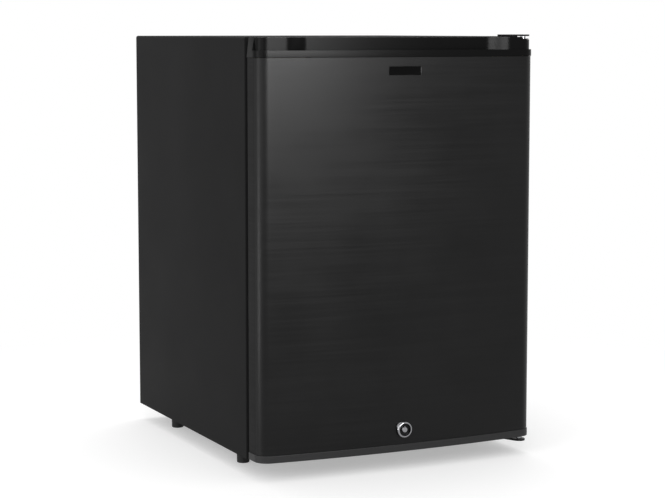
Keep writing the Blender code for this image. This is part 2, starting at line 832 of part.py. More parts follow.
def make_lamp():
    """The lamp's clear lens, and its board with one emitter."""
    lens = dress(lens_block("lamp_lens", 0.0), CLEAR_PLASTIC)
    y = CONTROL_FRONT_Y + LENS_INSET
    z = control_z()
    wall_x = ROOM_HALF - TOUCH
    board = block(
        "lamp_board",
        (wall_x - BOARD_STANDOFF - BOARD_THICKNESS, y - LENS_LENGTH / 2, z - LENS_HEIGHT / 2),
        (wall_x - BOARD_STANDOFF, y + LENS_LENGTH / 2, z + LENS_HEIGHT / 2),
    )
    emitter = BOARD_THICKNESS * 2
    join(
        board,
        block(
            "emitter",
            (wall_x - BOARD_STANDOFF - emitter, y - emitter, z - emitter),
            (wall_x - BOARD_STANDOFF - BOARD_THICKNESS / 2, y + emitter, z + emitter),
        ),
        block(
            "standoff",
            (wall_x - BOARD_STANDOFF - BOARD_THICKNESS / 2, y - emitter, z - emitter),
            (wall_x, y + emitter, z + emitter),
        ),
    )
    return lens, dress(board, GREEN_BOARD)


def make_thermostat():
    """The thermostat with its spindle, and the knob that turns it."""
    depth, length, height = THERMOSTAT_SIZE
    y = knob_y()
    z = control_z()
    box_x = CONTROL_FACE_X + CONTROL_WALL + TOUCH
    body = block(
        "thermostat",
        (box_x, y - length / 2, z - height / 2),
        (box_x + depth, y + length / 2, z + height / 2),
    )
    spindle_end = CONTROL_WALL + TOUCH + SPINDLE_REACH
    spindle = drum("spindle", SPINDLE_RADIUS, -depth / 2, spindle_end, SMALL_SIDES)
    spindle.rotation_euler.y = -math.pi / 2
    spindle.location = (box_x, y, z)
    join(body, spindle)
    bore = SPINDLE_RADIUS + TOUCH
    deep = SPINDLE_REACH + TOUCH
    profile = [
        (0, KNOB_HEIGHT),
        (KNOB_GRIP_RADIUS, KNOB_HEIGHT),
        (KNOB_GRIP_RADIUS, KNOB_RIM + TOUCH * 2),
        (KNOB_RADIUS, KNOB_RIM),
        (KNOB_RADIUS, TOUCH),
        (bore, TOUCH),
        (bore, deep),
        (0, deep),
    ]
    knob = dress(turned("thermostat_knob", profile, FINE_SIDES), BLACK_PLASTIC)
    knob.rotation_euler.y = -math.pi / 2
    knob.location = (CONTROL_FACE_X, y, z)
    return dress(body, WHITE_PLASTIC), knob


def reed_corners():
    """The reed switch behind the cabinet's front flange."""
    length, depth, height = REED_SIZE
    front = FRONT_Y + SHEET + TOUCH
    top = BODY_TOP - REED_DROP
    return (REED_X, front, top - height), (REED_X + length, front + depth, top)


def make_reed():
    """The switch that puts the lamp on, and the magnet in the door that works it."""
    low, high = reed_corners()
    switch = dress(block("reed_switch", low, high), BLACK_PLASTIC)
    length, depth, height = REED_SIZE
    rear = DOOR_BACK_Y - CAP_WALL - TOUCH
    magnet = block(
        "reed_magnet",
        (low[0], rear - depth, low[2]),
        (high[0], rear, high[2]),
    )
    return switch, dress(magnet, DARK_STEEL)


# Cooling unit


def make_evaporator():
    """The finned plate that cools the room, and the plug of foam behind it."""
    rear = ROOM_REAR_Y - TOUCH
    face = rear - EVAPORATOR_BASE
    half = EVAPORATOR_WIDTH / 2
    pitch = (EVAPORATOR_WIDTH - FIN_THICKNESS) / (FIN_COUNT - 1)
    tip = face - FIN_DEPTH
    outline = [(half, rear), (-half, rear), (-half, tip)]
    for k in range(FIN_COUNT - 1):
        near = -half + k * pitch + FIN_THICKNESS
        far = -half + (k + 1) * pitch
        outline += [(near, tip), (near, face), (far, face), (far, tip)]
    outline.append((half, tip))
    fins = prism("evaporator_fins", outline, EVAPORATOR_LOW, EVAPORATOR_TOP)
    plug = plug_block("foam_plug", 0.0, ROOM_REAR_Y, BOX_REAR_Y)
    cut(plug, tube("channel", cold_path(), COLD_TUBE_RADIUS + TOUCH * 2, 2))
    pipe = tube("evaporator_tube", cold_path(), COLD_TUBE_RADIUS, 2)
    return dress(fins, ALUMINIUM), dress(plug, FOAM), dress(pipe, DARK_STEEL)


def cold_path():
    """From the condenser, down and forward through the plug, then back out to the heat exchanger."""
    inlet = CONDENSER_HALF_LENGTH + TOUCH
    outer = inlet + COLD_TUBE_BEND * 2
    low = CONDENSER_Z - RETURN_LOOP_DROP
    span = COLD_TUBE_HALF_SPAN
    inside = ROOM_REAR_Y + COLD_TUBE_SETBACK
    corners = [
        (-inlet, UNIT_Y, CONDENSER_Z),
        (-outer, UNIT_Y, CONDENSER_Z),
        (-outer, UNIT_Y, low),
        (-span, UNIT_Y, low),
        (-span, inside, low),
        (span, inside, low),
        (span, UNIT_Y, low),
        (span, UNIT_Y, exchanger_top() + TOUCH),
    ]
    return rounded_path(corners, COLD_TUBE_BEND)


def exchanger_top():
    return CONDENSER_Z - RETURN_LOOP_DROP - COLD_TUBE_BEND * 2


def make_condenser():
    """The finned condenser along the top, and the riser from the boiler."""
    half = CONDENSER_HALF_LENGTH
    first = -DISC_PITCH * (DISC_COUNT - 1) / 2
    profile = [(0, -half), (CONDENSER_RADIUS, -half)]
    for k in range(DISC_COUNT):
        low = first + k * DISC_PITCH - DISC_THICKNESS / 2
        high = low + DISC_THICKNESS
        profile += [
            (CONDENSER_RADIUS, low),
            (DISC_RADIUS, low),
            (DISC_RADIUS, high),
            (CONDENSER_RADIUS, high),
        ]
    profile += [(CONDENSER_RADIUS, half), (0, half)]
    condenser = turned("condenser", profile)
    condenser.rotation_euler.y = math.pi / 2
    condenser.location = (0, UNIT_Y, CONDENSER_Z)
    corners = [
        (BOILER_X, UNIT_Y, BODY_LOW + BOILER_LOW + BOILER_HEIGHT + TOUCH),
        (BOILER_X, UNIT_Y, CONDENSER_Z),
        (half + TOUCH, UNIT_Y, CONDENSER_Z),
    ]
    bend = BOILER_X - half - TOUCH - RISER_STRAIGHT
    riser = tube("riser_tube", rounded_path(corners, bend), CONDENSER_RADIUS)
    return dress(condenser, ALUMINIUM), dress(riser, DARK_STEEL)


def make_boiler():
    """The boiler's round casing, packed with insulation round the generator and its heater."""
    chamfer = BOILER_CHAMFER
    profile = [
        (0, 0),
        (BOILER_RADIUS - chamfer, 0),
        (BOILER_RADIUS, chamfer),
        (BOILER_RADIUS, BOILER_HEIGHT - chamfer),
        (BOILER_RADIUS - chamfer, BOILER_HEIGHT),
        (0, BOILER_HEIGHT),
    ]
    boiler = turned("boiler_housing", profile, FINE_SIDES)
    boiler.location = (BOILER_X, UNIT_Y, BODY_LOW + BOILER_LOW)
    return dress(boiler, ZINC)


def make_absorber():
    """The hollow absorber vessel, the coil that opens into it, and the gas heat exchanger."""
    vessel = turned("absorber_vessel", vessel_profile(0.0), FINE_SIDES)
    cavity = turned("cavity", vessel_profile(VESSEL_WALL), FINE_SIDES)
    vessel_z = BODY_LOW + VESSEL_LEVEL
    for piece in (vessel, cavity):
        piece.rotation_euler.y = math.pi / 2
        piece.location = (VESSEL_X, UNIT_Y, vessel_z)
    start = COIL_LEFT + COIL_PITCH
    inlet = drum("inlet", COIL_RADIUS - COIL_WALL, 0, VESSEL_RADIUS + BEYOND)
    inlet.location = (start, UNIT_Y, vessel_z)
    cut(vessel, cavity, inlet)
    vessel_top = vessel_z + VESSEL_RADIUS + TOUCH
    exchanger = drum("gas_heat_exchanger", EXCHANGER_RADIUS, vessel_top, exchanger_top())
    exchanger.location = (COLD_TUBE_HALF_SPAN, UNIT_Y, 0)
    right = COLD_TUBE_HALF_SPAN - EXCHANGER_RADIUS - TOUCH
    corners = [(start, vessel_top)]
    x = start
    for k in range(COIL_RUNS):
        level = vessel_top + COIL_LIFT + k * COIL_PITCH
        corners.append((x, level))
        x = COIL_LEFT if k % 2 else right - COIL_PITCH
        corners.append((x, level))
    corners[-1] = (right, level)
    path = rounded_path([(x, UNIT_Y, z) for x, z in corners], COIL_PITCH / 2 - TOUCH)
    coil = tube("absorber_coil", path, COIL_RADIUS)
    return dress(vessel, DARK_STEEL), dress(coil, DARK_STEEL), dress(exchanger, DARK_STEEL)


def vessel_profile(inset):
    """The vessel's half outline, moved in by its wall for the space inside."""
    chamfer = VESSEL_CHAMFER
    half = VESSEL_LENGTH / 2 - inset
    radius = VESSEL_RADIUS - inset
    return [
        (0, -half),
        (radius - chamfer, -half),
        (radius, chamfer - half),
        (radius, half - chamfer),
        (radius - chamfer, half),
        (0, half),
    ]


def make_channel():
    """The steel channel that holds the cooling unit off the back panel."""
    near = BOX_REAR_Y + TOUCH
    far = UNIT_Y - EXCHANGER_RADIUS - TOUCH
    low = BODY_LOW + CHANNEL_LEVEL
    high = low + CHANNEL_HEIGHT
    steel = CHANNEL_THICKNESS
    outline = [
        (near, low),
        (far, low),
        (far, high),
        (far - steel, high),
        (far - steel, low + steel),
        (near + steel, low + steel),
        (near + steel, high),
        (near, high),
    ]
    channel = prism("unit_channel", outline, -CHANNEL_HALF_LENGTH, CHANNEL_HALF_LENGTH, "X")
    return dress(channel, ZINC)


def make_terminal():
    """The terminal box behind the cabinet, and the empty gland where the mains lead enters."""
    width, depth, height = TERMINAL_SIZE
    right = HALF - SHEET - TERMINAL_EDGE
    low = BODY_LOW + TERMINAL_LEVEL
    front = BOX_REAR_Y + TOUCH
    box = block("terminal_box", (right - width, front, low), (right, front + depth, low + height))
    inner = GLAND_RADIUS - GLAND_WALL
    profile = [(inner, 0), (inner, GLAND_LENGTH), (GLAND_RADIUS, GLAND_LENGTH), (GLAND_RADIUS, 0)]
    gland = turned("cable_gland", profile, ring=True)
    gland.location = (right - width / 2, front + depth / 2, low - TOUCH - GLAND_LENGTH)
    return dress(box, BLACK_PLASTIC), dress(gland, BLACK_PLASTIC)


# Hinges


def screw_profile(gap, above):
    """A countersunk screw with its head flush at height 0; a gap and a lead-in make its hole."""
    head = SCREW_HEAD_RADIUS + gap
    shank = SCREW_RADIUS + gap
    end = -SCREW_LENGTH - gap
    return [
        (0, above),
        (head, above),
        (head, -TOUCH),
        (shank, -SCREW_HEAD_DEPTH - TOUCH),
        (shank, end),
        (0, end),
    ]


def make_hinge(where, side_z, up, gap, sheets, bush_seat):
    """An angle plate past a side of the cabinet, its pin and two screws; up is 1 at the top."""
    near = side_z + up * gap
    far = near + up * HINGE_PLATE
    foot = side_z - up * HINGE_FLANGE
    face_y = HINGE_REAR_Y - HINGE_PLATE
    plate = prism(f"hinge_plate_{where}", hinge_outline(), min(foot, far), max(foot, far))
    room = sorted((near, foot - up * BEYOND))
    room_low = (HINGE_LEFT - BEYOND, HINGE_Y - BEYOND, room[0])
    cut(plate, block("room", room_low, (HINGE_RIGHT + BEYOND, face_y, room[1])))
    pin_end = bush_seat - up * (BUSH_LENGTH - TOUCH)
    bore = drum("bore", PIN_RADIUS + TOUCH, min(near, far) - BEYOND, max(near, far) + BEYOND)
    bore.location = (HINGE_X, HINGE_Y, 0)
    cut(plate, bore)
    pin = drum(f"hinge_pin_{where}", PIN_RADIUS, min(far, pin_end), max(far, pin_end))
    pin.location = (HINGE_X, HINGE_Y, 0)
    dress(pin, CHROME)
    pieces = [plate, pin]
    middle = HINGE_RIGHT - HINGE_PLATE_WIDTH / 2
    level = side_z - up * SCREW_LEVEL
    for spot, side in (("inner", -1), ("outer", 1)):
        screw = turned(f"hinge_screw_{where}_{spot}", screw_profile(0.0, 0.0))
        hole = turned("hole", screw_profile(TOUCH, BEYOND))
        for piece in (screw, hole):
            piece.location = (middle + side * SCREW_SPREAD / 2, face_y, level)
            piece.rotation_euler.x = math.pi / 2
        cut_all([plate, *sheets], hole)
        pieces.append(dress(screw, ZINC))
    dress(plate, DARK_STEEL)
    return pieces


def make_bush(where, seat, up):
    """The nylon bush in the door that turns on the pin, with a flange that spaces the door."""
    inner = PIN_RADIUS + TOUCH
    top = FLANGE_THICKNESS
    low = -BUSH_LENGTH
    profile = [
        (inner, low),
        (BUSH_RADIUS, low),
        (BUSH_RADIUS, TOUCH),
        (FLANGE_RADIUS, TOUCH),
        (FLANGE_RADIUS, top),
        (inner, top),
    ]
    bush = turned(f"hinge_bush_{where}", profile, ring=True)
    bush.location = (HINGE_X, HINGE_Y, seat)
    bush.rotation_euler.x = 0.0 if up > 0 else math.pi
    return dress(bush, NYLON)


def bush_hole(seat, up):
    """The hole that a bush sits in."""
    low = -BUSH_LENGTH - TOUCH
    hole = drum("hole", BUSH_RADIUS + TOUCH, low, BEYOND)
    hole.location = (HINGE_X, HINGE_Y, seat)
    hole.rotation_euler.x = 0.0 if up > 0 else math.pi
    return hole


# Door


def make_skin():
    """The bowed steel front with its two wrapped sides."""
    skin = prism("door_skin", door_outline(0.0, DOOR_BACK_Y), SKIN_LOW, SKIN_TOP)
    inside = door_outline(SHEET, DOOR_BACK_Y + BEYOND)
    cut(skin, prism("inside", inside, SKIN_LOW - BEYOND, SKIN_TOP + BEYOND))
    return dress(skin, DARK_BRUSHED)


def make_top_cap():
    """The top cap: a lip level with the skin, a set-back band above it and the finger grip."""
    low = SKIN_TOP + TOUCH
    rear = DOOR_BACK_Y
    floor = LIP_TOP - GRIP_POCKET_DEPTH
    inner = CAP_WALL + BAND_INSET
    notch_floor = DOOR_TOP - NOTCH_DEPTH
    cap = prism("door_top_cap", door_outline(-CAP_PROUD, rear), low, LIP_TOP)
    band = prism("band", door_outline(BAND_INSET, rear), LIP_TOP - CAP_WALL, DOOR_TOP)
    join(cap, band)
    hollow = prism(
        "hollow", door_outline(inner, rear - CAP_WALL), low - BEYOND, DOOR_TOP - CAP_WALL
    )
    housing = prism("housing", grip_outline(CAP_WALL, -BEYOND), low - BEYOND * 2, DOOR_TOP)
    boss = drum("boss", BUSH_RADIUS + CAP_WALL, low - BEYOND * 2, DOOR_TOP)
    boss.location = (HINGE_X, HINGE_Y, 0)
    ledge = block(
        "ledge",
        (HINGE_X - NOTCH_REACH - CAP_WALL, DOOR_FRONT_Y - BEYOND, notch_floor - CAP_WALL),
        (HALF + BEYOND, DOOR_BACK_Y + BEYOND, DOOR_TOP),
    )
    cut(hollow, housing, boss, ledge)
    cut(cap, hollow)
    pocket_wall = grip_outline(CAP_WALL, SHEET + TOUCH)
    join(cap, prism("pocket_wall", pocket_wall, floor - CAP_WALL, low + CAP_WALL))
    cut(cap, prism("grip", grip_outline(0.0, -BEYOND), LIP_TOP, DOOR_TOP + BEYOND))
    cut(cap, prism("pocket", pocket_outline(), floor, LIP_TOP + TOUCH))
    notch = block(
        "notch",
        (HINGE_X - NOTCH_REACH, DOOR_FRONT_Y - BEYOND, notch_floor),
        (HALF + BEYOND, DOOR_BACK_Y + BEYOND, DOOR_TOP + BEYOND),
    )
    cut(cap, notch, bush_hole(notch_floor, 1))
    return dress(cap, BLACK_PLASTIC)


def pocket_outline():
    """The pocket behind the lip that the fingertips hook into, in plan."""
    xs = [GRIP_HALF_WIDTH * k / 6 for k in range(-6, 7)]
    front = [(x, bow_y(x, LIP_WALL)) for x in reversed(xs)]
    back = [(x, bow_y(x, BAND_INSET) + grip_depth(x)) for x in xs]
    return front + back


def make_bottom_cap():
    """The bottom cap, which holds the lower hinge bush."""
    outline = door_outline(-CAP_PROUD, DOOR_BACK_Y)
    cap = prism("door_bottom_cap", outline, DOOR_LOW, SKIN_LOW - TOUCH)
    return dress(cut(cap, bush_hole(DOOR_LOW, -1)), BLACK_PLASTIC)


def make_door_foam():
    """The foam inside the door."""
    rear = DOOR_BACK_Y - LINER_WALL - TOUCH
    foam = prism("door_foam", door_outline(SHEET + TOUCH, rear), SKIN_LOW, SKIN_TOP)
    low = LIP_TOP - GRIP_POCKET_DEPTH - CAP_WALL - TOUCH
    room = grip_outline(CAP_WALL + TOUCH, -BEYOND)
    cut(foam, prism("room", room, low, SKIN_TOP + BEYOND))
    return dress(foam, FOAM)


def make_door_liner():
    """The door's moulded inner face, with a raised ridge round it and lugs for the racks."""
    side = HALF - SHEET - TOUCH
    back = DOOR_BACK_Y
    liner = block(
        "door_liner", (-side, back - LINER_WALL, SKIN_LOW), (side, back, SKIN_TOP)
    )
    outer = DIKE_HALF
    low = ROOM_LOW + DIKE_MARGIN
    high = ROOM_TOP - DIKE_MARGIN
    wall = LINER_WALL
    width = DIKE_WIDTH
    join(liner, upright_frame("dike", outer, low, high, width, back - wall / 2, back + DIKE_HEIGHT))
    inner_width = width - 2 * wall
    cut(
        liner,
        upright_frame(
            "groove",
            outer - wall,
            low + wall,
            high - wall,
            inner_width,
            back - BEYOND,
            back + DIKE_HEIGHT - wall,
        ),
    )
    for level in (LOWER_RACK_LEVEL, UPPER_RACK_LEVEL):
        z = ROOM_LOW + level + LUG_LEVEL
        y = back + LUG_SETBACK
        for side in (-1, 1):
            near = side * (RACK_HALF_WIDTH - LUG_REACH)
            far = side * (outer - width + wall / 2)
            lug = block(
                "lug",
                (min(near, far), y - LUG_WIDTH / 2, z - LUG_HEIGHT),
                (max(near, far), y + LUG_WIDTH / 2, z),
            )
            join(liner, lug)
    return dress(liner, WHITE_PLASTIC)


def upright_frame(name, half, low, high, width, front, rear):
    """A rectangular frame standing in X and Z."""
    frame = block(name, (-half, front, low), (half, rear, high))
    hole = block(
        "hole",
        (width - half, front - BEYOND, low + width),
        (half - width, rear + BEYOND, high - width),
    )
    return cut(frame, hole)


def make_gasket():
    """The magnetic seal round the door's back, which fills the gap to the cabinet."""
    clear = TRIM_WIDTH + GASKET_INSET + GASKET_WIDTH
    gasket = upright_frame(
        "door_gasket",
        ROOM_HALF + clear,
        ROOM_LOW - clear,
        ROOM_TOP + clear,
        GASKET_WIDTH,
        DOOR_BACK_Y + TOUCH,
        FRONT_Y - TOUCH,
    )
    return dress(gasket, GREY_RUBBER)


def make_rack(name, level, height):
    """A door rack: an open bin whose end walls drop over the door's lugs."""
    low = ROOM_LOW + level
    near = DOOR_BACK_Y + TOUCH
    half = RACK_HALF_WIDTH
    rack = block(name, (-half, near, low), (half, near + RACK_DEPTH, low + height))
    hollow = block(
        "hollow",
        (RACK_WALL - half, near + RACK_WALL, low + RACK_WALL),
        (half - RACK_WALL, near + RACK_DEPTH - RACK_WALL, low + height + BEYOND),
    )
    cut(rack, hollow)
    y = DOOR_BACK_Y + LUG_SETBACK
    reach = LUG_WIDTH / 2 + TOUCH
    inside = half - LUG_REACH - TOUCH
    for side in (-1, 1):
        ends = sorted((side * inside, side * (half + BEYOND)))
        slot = block(
            "slot",
            (ends[0], y - reach, low - BEYOND),
            (ends[1], y + reach, low + LUG_LEVEL + TOUCH),
        )
        cut(rack, slot)
    return dress(rack, CLEAR_PLASTIC)


def make_badge():
    """A bare badge plate near the top of the door."""
    z = BODY_TOP - BADGE_DROP
    rear = DOOR_FRONT_Y - TOUCH
    badge = block(
        "badge_plate",
        (-BADGE_WIDTH / 2, rear - BADGE_THICKNESS, z - BADGE_HEIGHT / 2),
        (BADGE_WIDTH / 2, rear, z + BADGE_HEIGHT / 2),
    )
    return dress(badge, BLACK_PLASTIC)


# Lock: heights run out of the door, from its front face


def face_door(piece):
    """Turn a piece made along local Z to point out of the door at the lock."""
    piece.location = (0, DOOR_FRONT_Y, LOCK_Z)
    piece.rotation_euler.x = math.pi / 2
    return piece


def barrel_end():
    """How far the barrel's rear end lies behind the door's front face, as a height."""
    return -DOOR_THICKNESS - TOUCH - NUT_THICKNESS


def cam_front():
    return barrel_end() - TOUCH


def make_lock_body():
    """The lock's threaded barrel and its domed bezel with a small ear."""
    bore = PLUG_RADIUS + TOUCH
    end = barrel_end()
    dome = arc_points((0.0, 0.0), 1.0, math.radians(90), 0.0, 3)
    width = BEZEL_RADIUS - BEZEL_FACE_RADIUS
    height = LOCK_PROUD - BEZEL_RIM
    profile = [
        (bore - TOUCH, LOCK_PROUD),
        *[(BEZEL_FACE_RADIUS + width * out, BEZEL_RIM + height * up) for out, up in dome],
        (BEZEL_RADIUS, TOUCH),
        (BARREL_RADIUS, TOUCH),
        (BARREL_RADIUS, end),
        (bore - TOUCH, end),
    ]
    body = turned("lock_body", profile, FINE_SIDES, ring=True)
    ear = drum("ear", EAR_RADIUS, TOUCH * 2, EAR_PROUD)
    ear.location = (*EAR_OFFSET, 0)
    join(body, ear)
    cut(body, drum("bore", bore, end - BEYOND, LOCK_PROUD + BEYOND, FINE_SIDES))
    return dress(face_door(body), CHROME)


def lock_hole():
    """The hole through the door for the barrel."""
    hole = drum("hole", BARREL_RADIUS + TOUCH, barrel_end() - BEYOND, BEYOND, FINE_SIDES)
    return face_door(hole)


def make_lock_plug():
    """The turning plug with its round keyway, and a square stub for the cam."""
    front = LOCK_PROUD - TOUCH * 2
    end = barrel_end()
    keyway = front - KEYWAY_DEPTH
    screw_bore = SMALL_SCREW_RADIUS + TOUCH
    stub_end = cam_front() - CAM_THICKNESS
    bore_end = stub_end + SMALL_SCREW_LENGTH + TOUCH
    profile = [
        (0, front),
        (KEY_POST_RADIUS, front),
        (KEY_POST_RADIUS, keyway),
        (KEYWAY_RADIUS, keyway),
        (KEYWAY_RADIUS, front),
        (PLUG_RADIUS, front),
        (PLUG_RADIUS, end),
        (0, end),
    ]
    plug = turned("lock_plug", profile, FINE_SIDES)
    half = STUB_WIDTH / 2
    stub = block("stub", (-half, -half, stub_end), (half, half, end + CAM_THICKNESS))
    join(plug, stub)
    cut(plug, drum("bore", screw_bore, stub_end - BEYOND, bore_end, SMALL_SIDES))
    return dress(face_door(plug), CHROME)


def make_lock_nut():
    """The six-sided nut that clamps the barrel to the door."""
    radius = NUT_ACROSS_FLATS / math.sqrt(3)
    high = -DOOR_THICKNESS - TOUCH
    nut = drum("lock_nut", radius, high - NUT_THICKNESS, high, sides=6)
    cut(nut, drum("bore", BARREL_RADIUS + TOUCH, high - BEYOND, high + BEYOND, FINE_SIDES))
    return dress(face_door(nut), ZINC, smooth=False)


def make_lock_cam():
    """The cam that turns behind the keeper, and the screw that holds it on the plug."""
    high = cam_front()
    low = high - CAM_THICKNESS
    end = CAM_WIDTH / 2
    outline = arc_points((0.0, 0.0), end, math.radians(90), math.radians(270), 8)
    outline += [(CAM_LENGTH, -end), (CAM_LENGTH, end)]
    cam = prism("lock_cam", outline, low, high)
    half = STUB_WIDTH / 2 + TOUCH
    cut(cam, block("square", (-half, -half, low - BEYOND), (half, half, high + BEYOND)))
    seat = low - TOUCH
    head = seat - SMALL_SCREW_HEAD
    tip = low + SMALL_SCREW_LENGTH
    profile = [
        (0, head),
        (SMALL_SCREW_HEAD_RADIUS, head),
        (SMALL_SCREW_HEAD_RADIUS, seat),
        (SMALL_SCREW_RADIUS, seat),
        (SMALL_SCREW_RADIUS, tip),
        (0, tip),
    ]
    screw = turned("lock_cam_screw", profile, SMALL_SIDES)
    return dress(face_door(cam), ZINC), dress(face_door(screw), ZINC)


def make_keeper(sheets):
    """The bent keeper on the cabinet's front, with its screw."""
    foot_rear = FRONT_Y - TOUCH
    foot_front = foot_rear - KEEPER_SHEET
    cam_face = DOOR_FRONT_Y - cam_front()
    lip_rear = cam_face - TOUCH * 2
    lip_front = lip_rear - KEEPER_SHEET
    low = LOCK_Z - CAM_LENGTH - KEEPER_CLEARANCE
    web_top = low + KEEPER_SHEET
    outline = [
        (foot_rear, low),
        (foot_rear, low + KEEPER_FOOT),
        (foot_front, low + KEEPER_FOOT),
        (foot_front, web_top),
        (lip_rear, web_top),
        (lip_rear, low + KEEPER_LIP),
        (lip_front, low + KEEPER_LIP),
        (lip_front, low),
    ]
    keeper = prism("lock_keeper", outline, -KEEPER_WIDTH / 2, KEEPER_WIDTH / 2, "X")
    screw_z = low + KEEPER_FOOT - SMALL_SCREW_HEAD_RADIUS - KEEPER_SHEET
    radius = SMALL_SCREW_RADIUS
    length = SMALL_SCREW_LENGTH
    profile = [
        (0, KEEPER_SCREW_HEAD),
        (SMALL_SCREW_HEAD_RADIUS, KEEPER_SCREW_HEAD),
        (SMALL_SCREW_HEAD_RADIUS, 0),
        (radius, 0),
        (radius, -length),
        (0, -length),
    ]
    screw = turned("keeper_screw", profile, SMALL_SIDES)
    hole = drum("hole", radius + TOUCH, -length - TOUCH, BEYOND, SMALL_SIDES)
    for piece in (screw, hole):
        piece.location = (0, foot_front - TOUCH, screw_z)
        piece.rotation_euler.x = math.pi / 2
    cut_all([keeper, *sheets], hole)
    return dress(keeper, ZINC), dress(screw, ZINC)


def build():
    """Make every piece, then hang the moving ones on their axes."""
    start_empty()
    shell = make_shell()
    base = make_base()
    foam = make_foam()
    make_back()
    make_liner()
    make_trim()
    pads, studs, _ = make_feet()
    shelves = [
        make_shelf("shelf_lower", LOWER_SHELF_LEVEL),
        make_shelf("shelf_upper", UPPER_SHELF_LEVEL),
    ]
    tray = make_tray()
    make_control()
    make_lamp()
    _, knob = make_thermostat()
    _, magnet = make_reed()
    make_evaporator()
    make_condenser()
    make_boiler()
    make_absorber()
    make_channel()
    make_terminal()
    top_seat = DOOR_TOP - NOTCH_DEPTH
    make_hinge("top", BODY_TOP, 1, TOUCH, [shell, foam], top_seat)
    make_hinge("bottom", BODY_LOW, -1, TOUCH + HINGE_DROP, [shell, foam], DOOR_LOW)
    make_keeper([base, foam])

    skin = make_skin()
    door_foam = make_door_foam()
    door_liner = make_door_liner()
    cut_all([skin, door_foam, door_liner], lock_hole())
    cap = make_top_cap()
    bottom_cap = make_bottom_cap()
    bushes = [make_bush("top", top_seat, 1), make_bush("bottom", DOOR_LOW, -1)]
    plug = make_lock_plug()
    cam, cam_screw = make_lock_cam()
    upper_rack = make_rack("door_rack_upper", UPPER_RACK_LEVEL, UPPER_RACK_HEIGHT)
    lower_rack = make_rack("door_rack_lower", LOWER_RACK_LEVEL, LOWER_RACK_HEIGHT)
    door_pieces = [
        skin,
        door_foam,
        door_liner,
        cap,
        bottom_cap,
        *bushes,
        magnet,
        make_gasket(),
        make_badge(),
        make_lock_body(),
        make_lock_nut(),
    ]

    door_axis = carry("door_axis", (HINGE_X, HINGE_Y, DOOR_LOW), door_pieces)
    carry("lock_axis", (0, DOOR_FRONT_Y, LOCK_Z), [plug, cam, cam_screw], door_axis)
    carry("upper_rack_guide", (0, DOOR_BACK_Y, ROOM_LOW + UPPER_RACK_LEVEL), [upper_rack], door_axis)
    carry("lower_rack_guide", (0, DOOR_BACK_Y, ROOM_LOW + LOWER_RACK_LEVEL), [lower_rack], door_axis)
    carry("knob_axis", (CONTROL_FACE_X, knob_y(), control_z()), [knob])
    carry("tray_guide", (0, ROOM_REAR_Y, tray_z()), [tray])
    for shelf in shelves:
        carry(f"{shelf.name}_guide", (0, ROOM_REAR_Y, shelf.location.z), [shelf])
    for pad, stud in zip(pads, studs):
        guide = carry(f"{pad.name}_guide", pad.location.copy(), [pad])
        carry(f"{stud.name}_axis", stud.location.copy(), [stud], guide)


build()
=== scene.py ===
import math

import bmesh
import bpy
from mathutils import Matrix, Vector


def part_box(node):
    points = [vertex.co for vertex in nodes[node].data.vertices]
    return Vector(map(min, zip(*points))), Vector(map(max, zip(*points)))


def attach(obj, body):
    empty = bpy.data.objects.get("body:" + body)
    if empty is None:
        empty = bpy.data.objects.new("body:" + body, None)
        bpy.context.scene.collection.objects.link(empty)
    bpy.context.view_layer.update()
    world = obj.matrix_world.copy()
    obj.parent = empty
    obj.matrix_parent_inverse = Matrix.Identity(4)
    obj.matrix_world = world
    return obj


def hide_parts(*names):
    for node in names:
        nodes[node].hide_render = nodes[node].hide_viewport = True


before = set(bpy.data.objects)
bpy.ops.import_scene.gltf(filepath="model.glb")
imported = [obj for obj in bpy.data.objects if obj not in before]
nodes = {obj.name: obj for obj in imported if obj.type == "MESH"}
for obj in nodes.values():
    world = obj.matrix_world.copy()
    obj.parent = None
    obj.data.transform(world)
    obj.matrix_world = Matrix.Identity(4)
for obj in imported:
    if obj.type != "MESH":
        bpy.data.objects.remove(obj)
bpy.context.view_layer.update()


# The casing is one sheet of 1 mm steel, bent over the top and both sides, with a flange folded
# round the opening and a hem folded in at the back. It is powder coated matt black before the
# liner and the foam go in.

CASING_SHEET = 0.001
SHEET_EDGE = 0.00025
CASING_TOP_BEND = 0.003
CASING_FRONT_BEND = 0.0012
CASING_HEM_GAP = 0.0014
CASING_HEM_DEPTH = 0.008
WINDOW_GAP = 0.0003
WINDOW_PAST = 0.010
NEAR = 0.0005
POWDER_BLACK = (0.0085, 0.0085, 0.0087, 1.0)
DUST_PALE = (0.30, 0.29, 0.27, 1.0)


def add_node(tree, kind, inputs=None, **settings):
    """Add a shader node. An input given as a socket is linked, any other is set."""
    made = tree.nodes.new(kind)
    for name, value in settings.items():
        setattr(made, name, value)
    for name, value in (inputs or {}).items():
        if isinstance(value, bpy.types.NodeSocket):
            tree.links.new(value, made.inputs[name])
        else:
            made.inputs[name].default_value = value
    return made


def start_effect(name, takes):
    """Start an effect. Each thing it takes is (name, kind, value)."""
    tree = bpy.data.node_groups.new(name, "ShaderNodeTree")
    for label, kind, value in takes:
        socket = tree.interface.new_socket(label, in_out="INPUT", socket_type="NodeSocket" + kind)
        socket.default_value = value
    return tree, tree.nodes.new("NodeGroupInput").outputs


def bumped(tree, height, strength, distance):
    """The normal that a height gives a surface."""
    inputs = {"Strength": strength, "Distance": distance, "Height": height}
    return add_node(tree, "ShaderNodeBump", inputs).outputs[0]


def end_effect(tree, **results):
    """Lead an effect's results out of it, each by its name."""
    kinds = {"Color": "Color", "Roughness": "Float", "Normal": "Vector"}
    for label in results:
        kind = "NodeSocket" + kinds[label]
        tree.interface.new_socket(label, in_out="OUTPUT", socket_type=kind)
    add_node(tree, "NodeGroupOutput", results)
    return tree


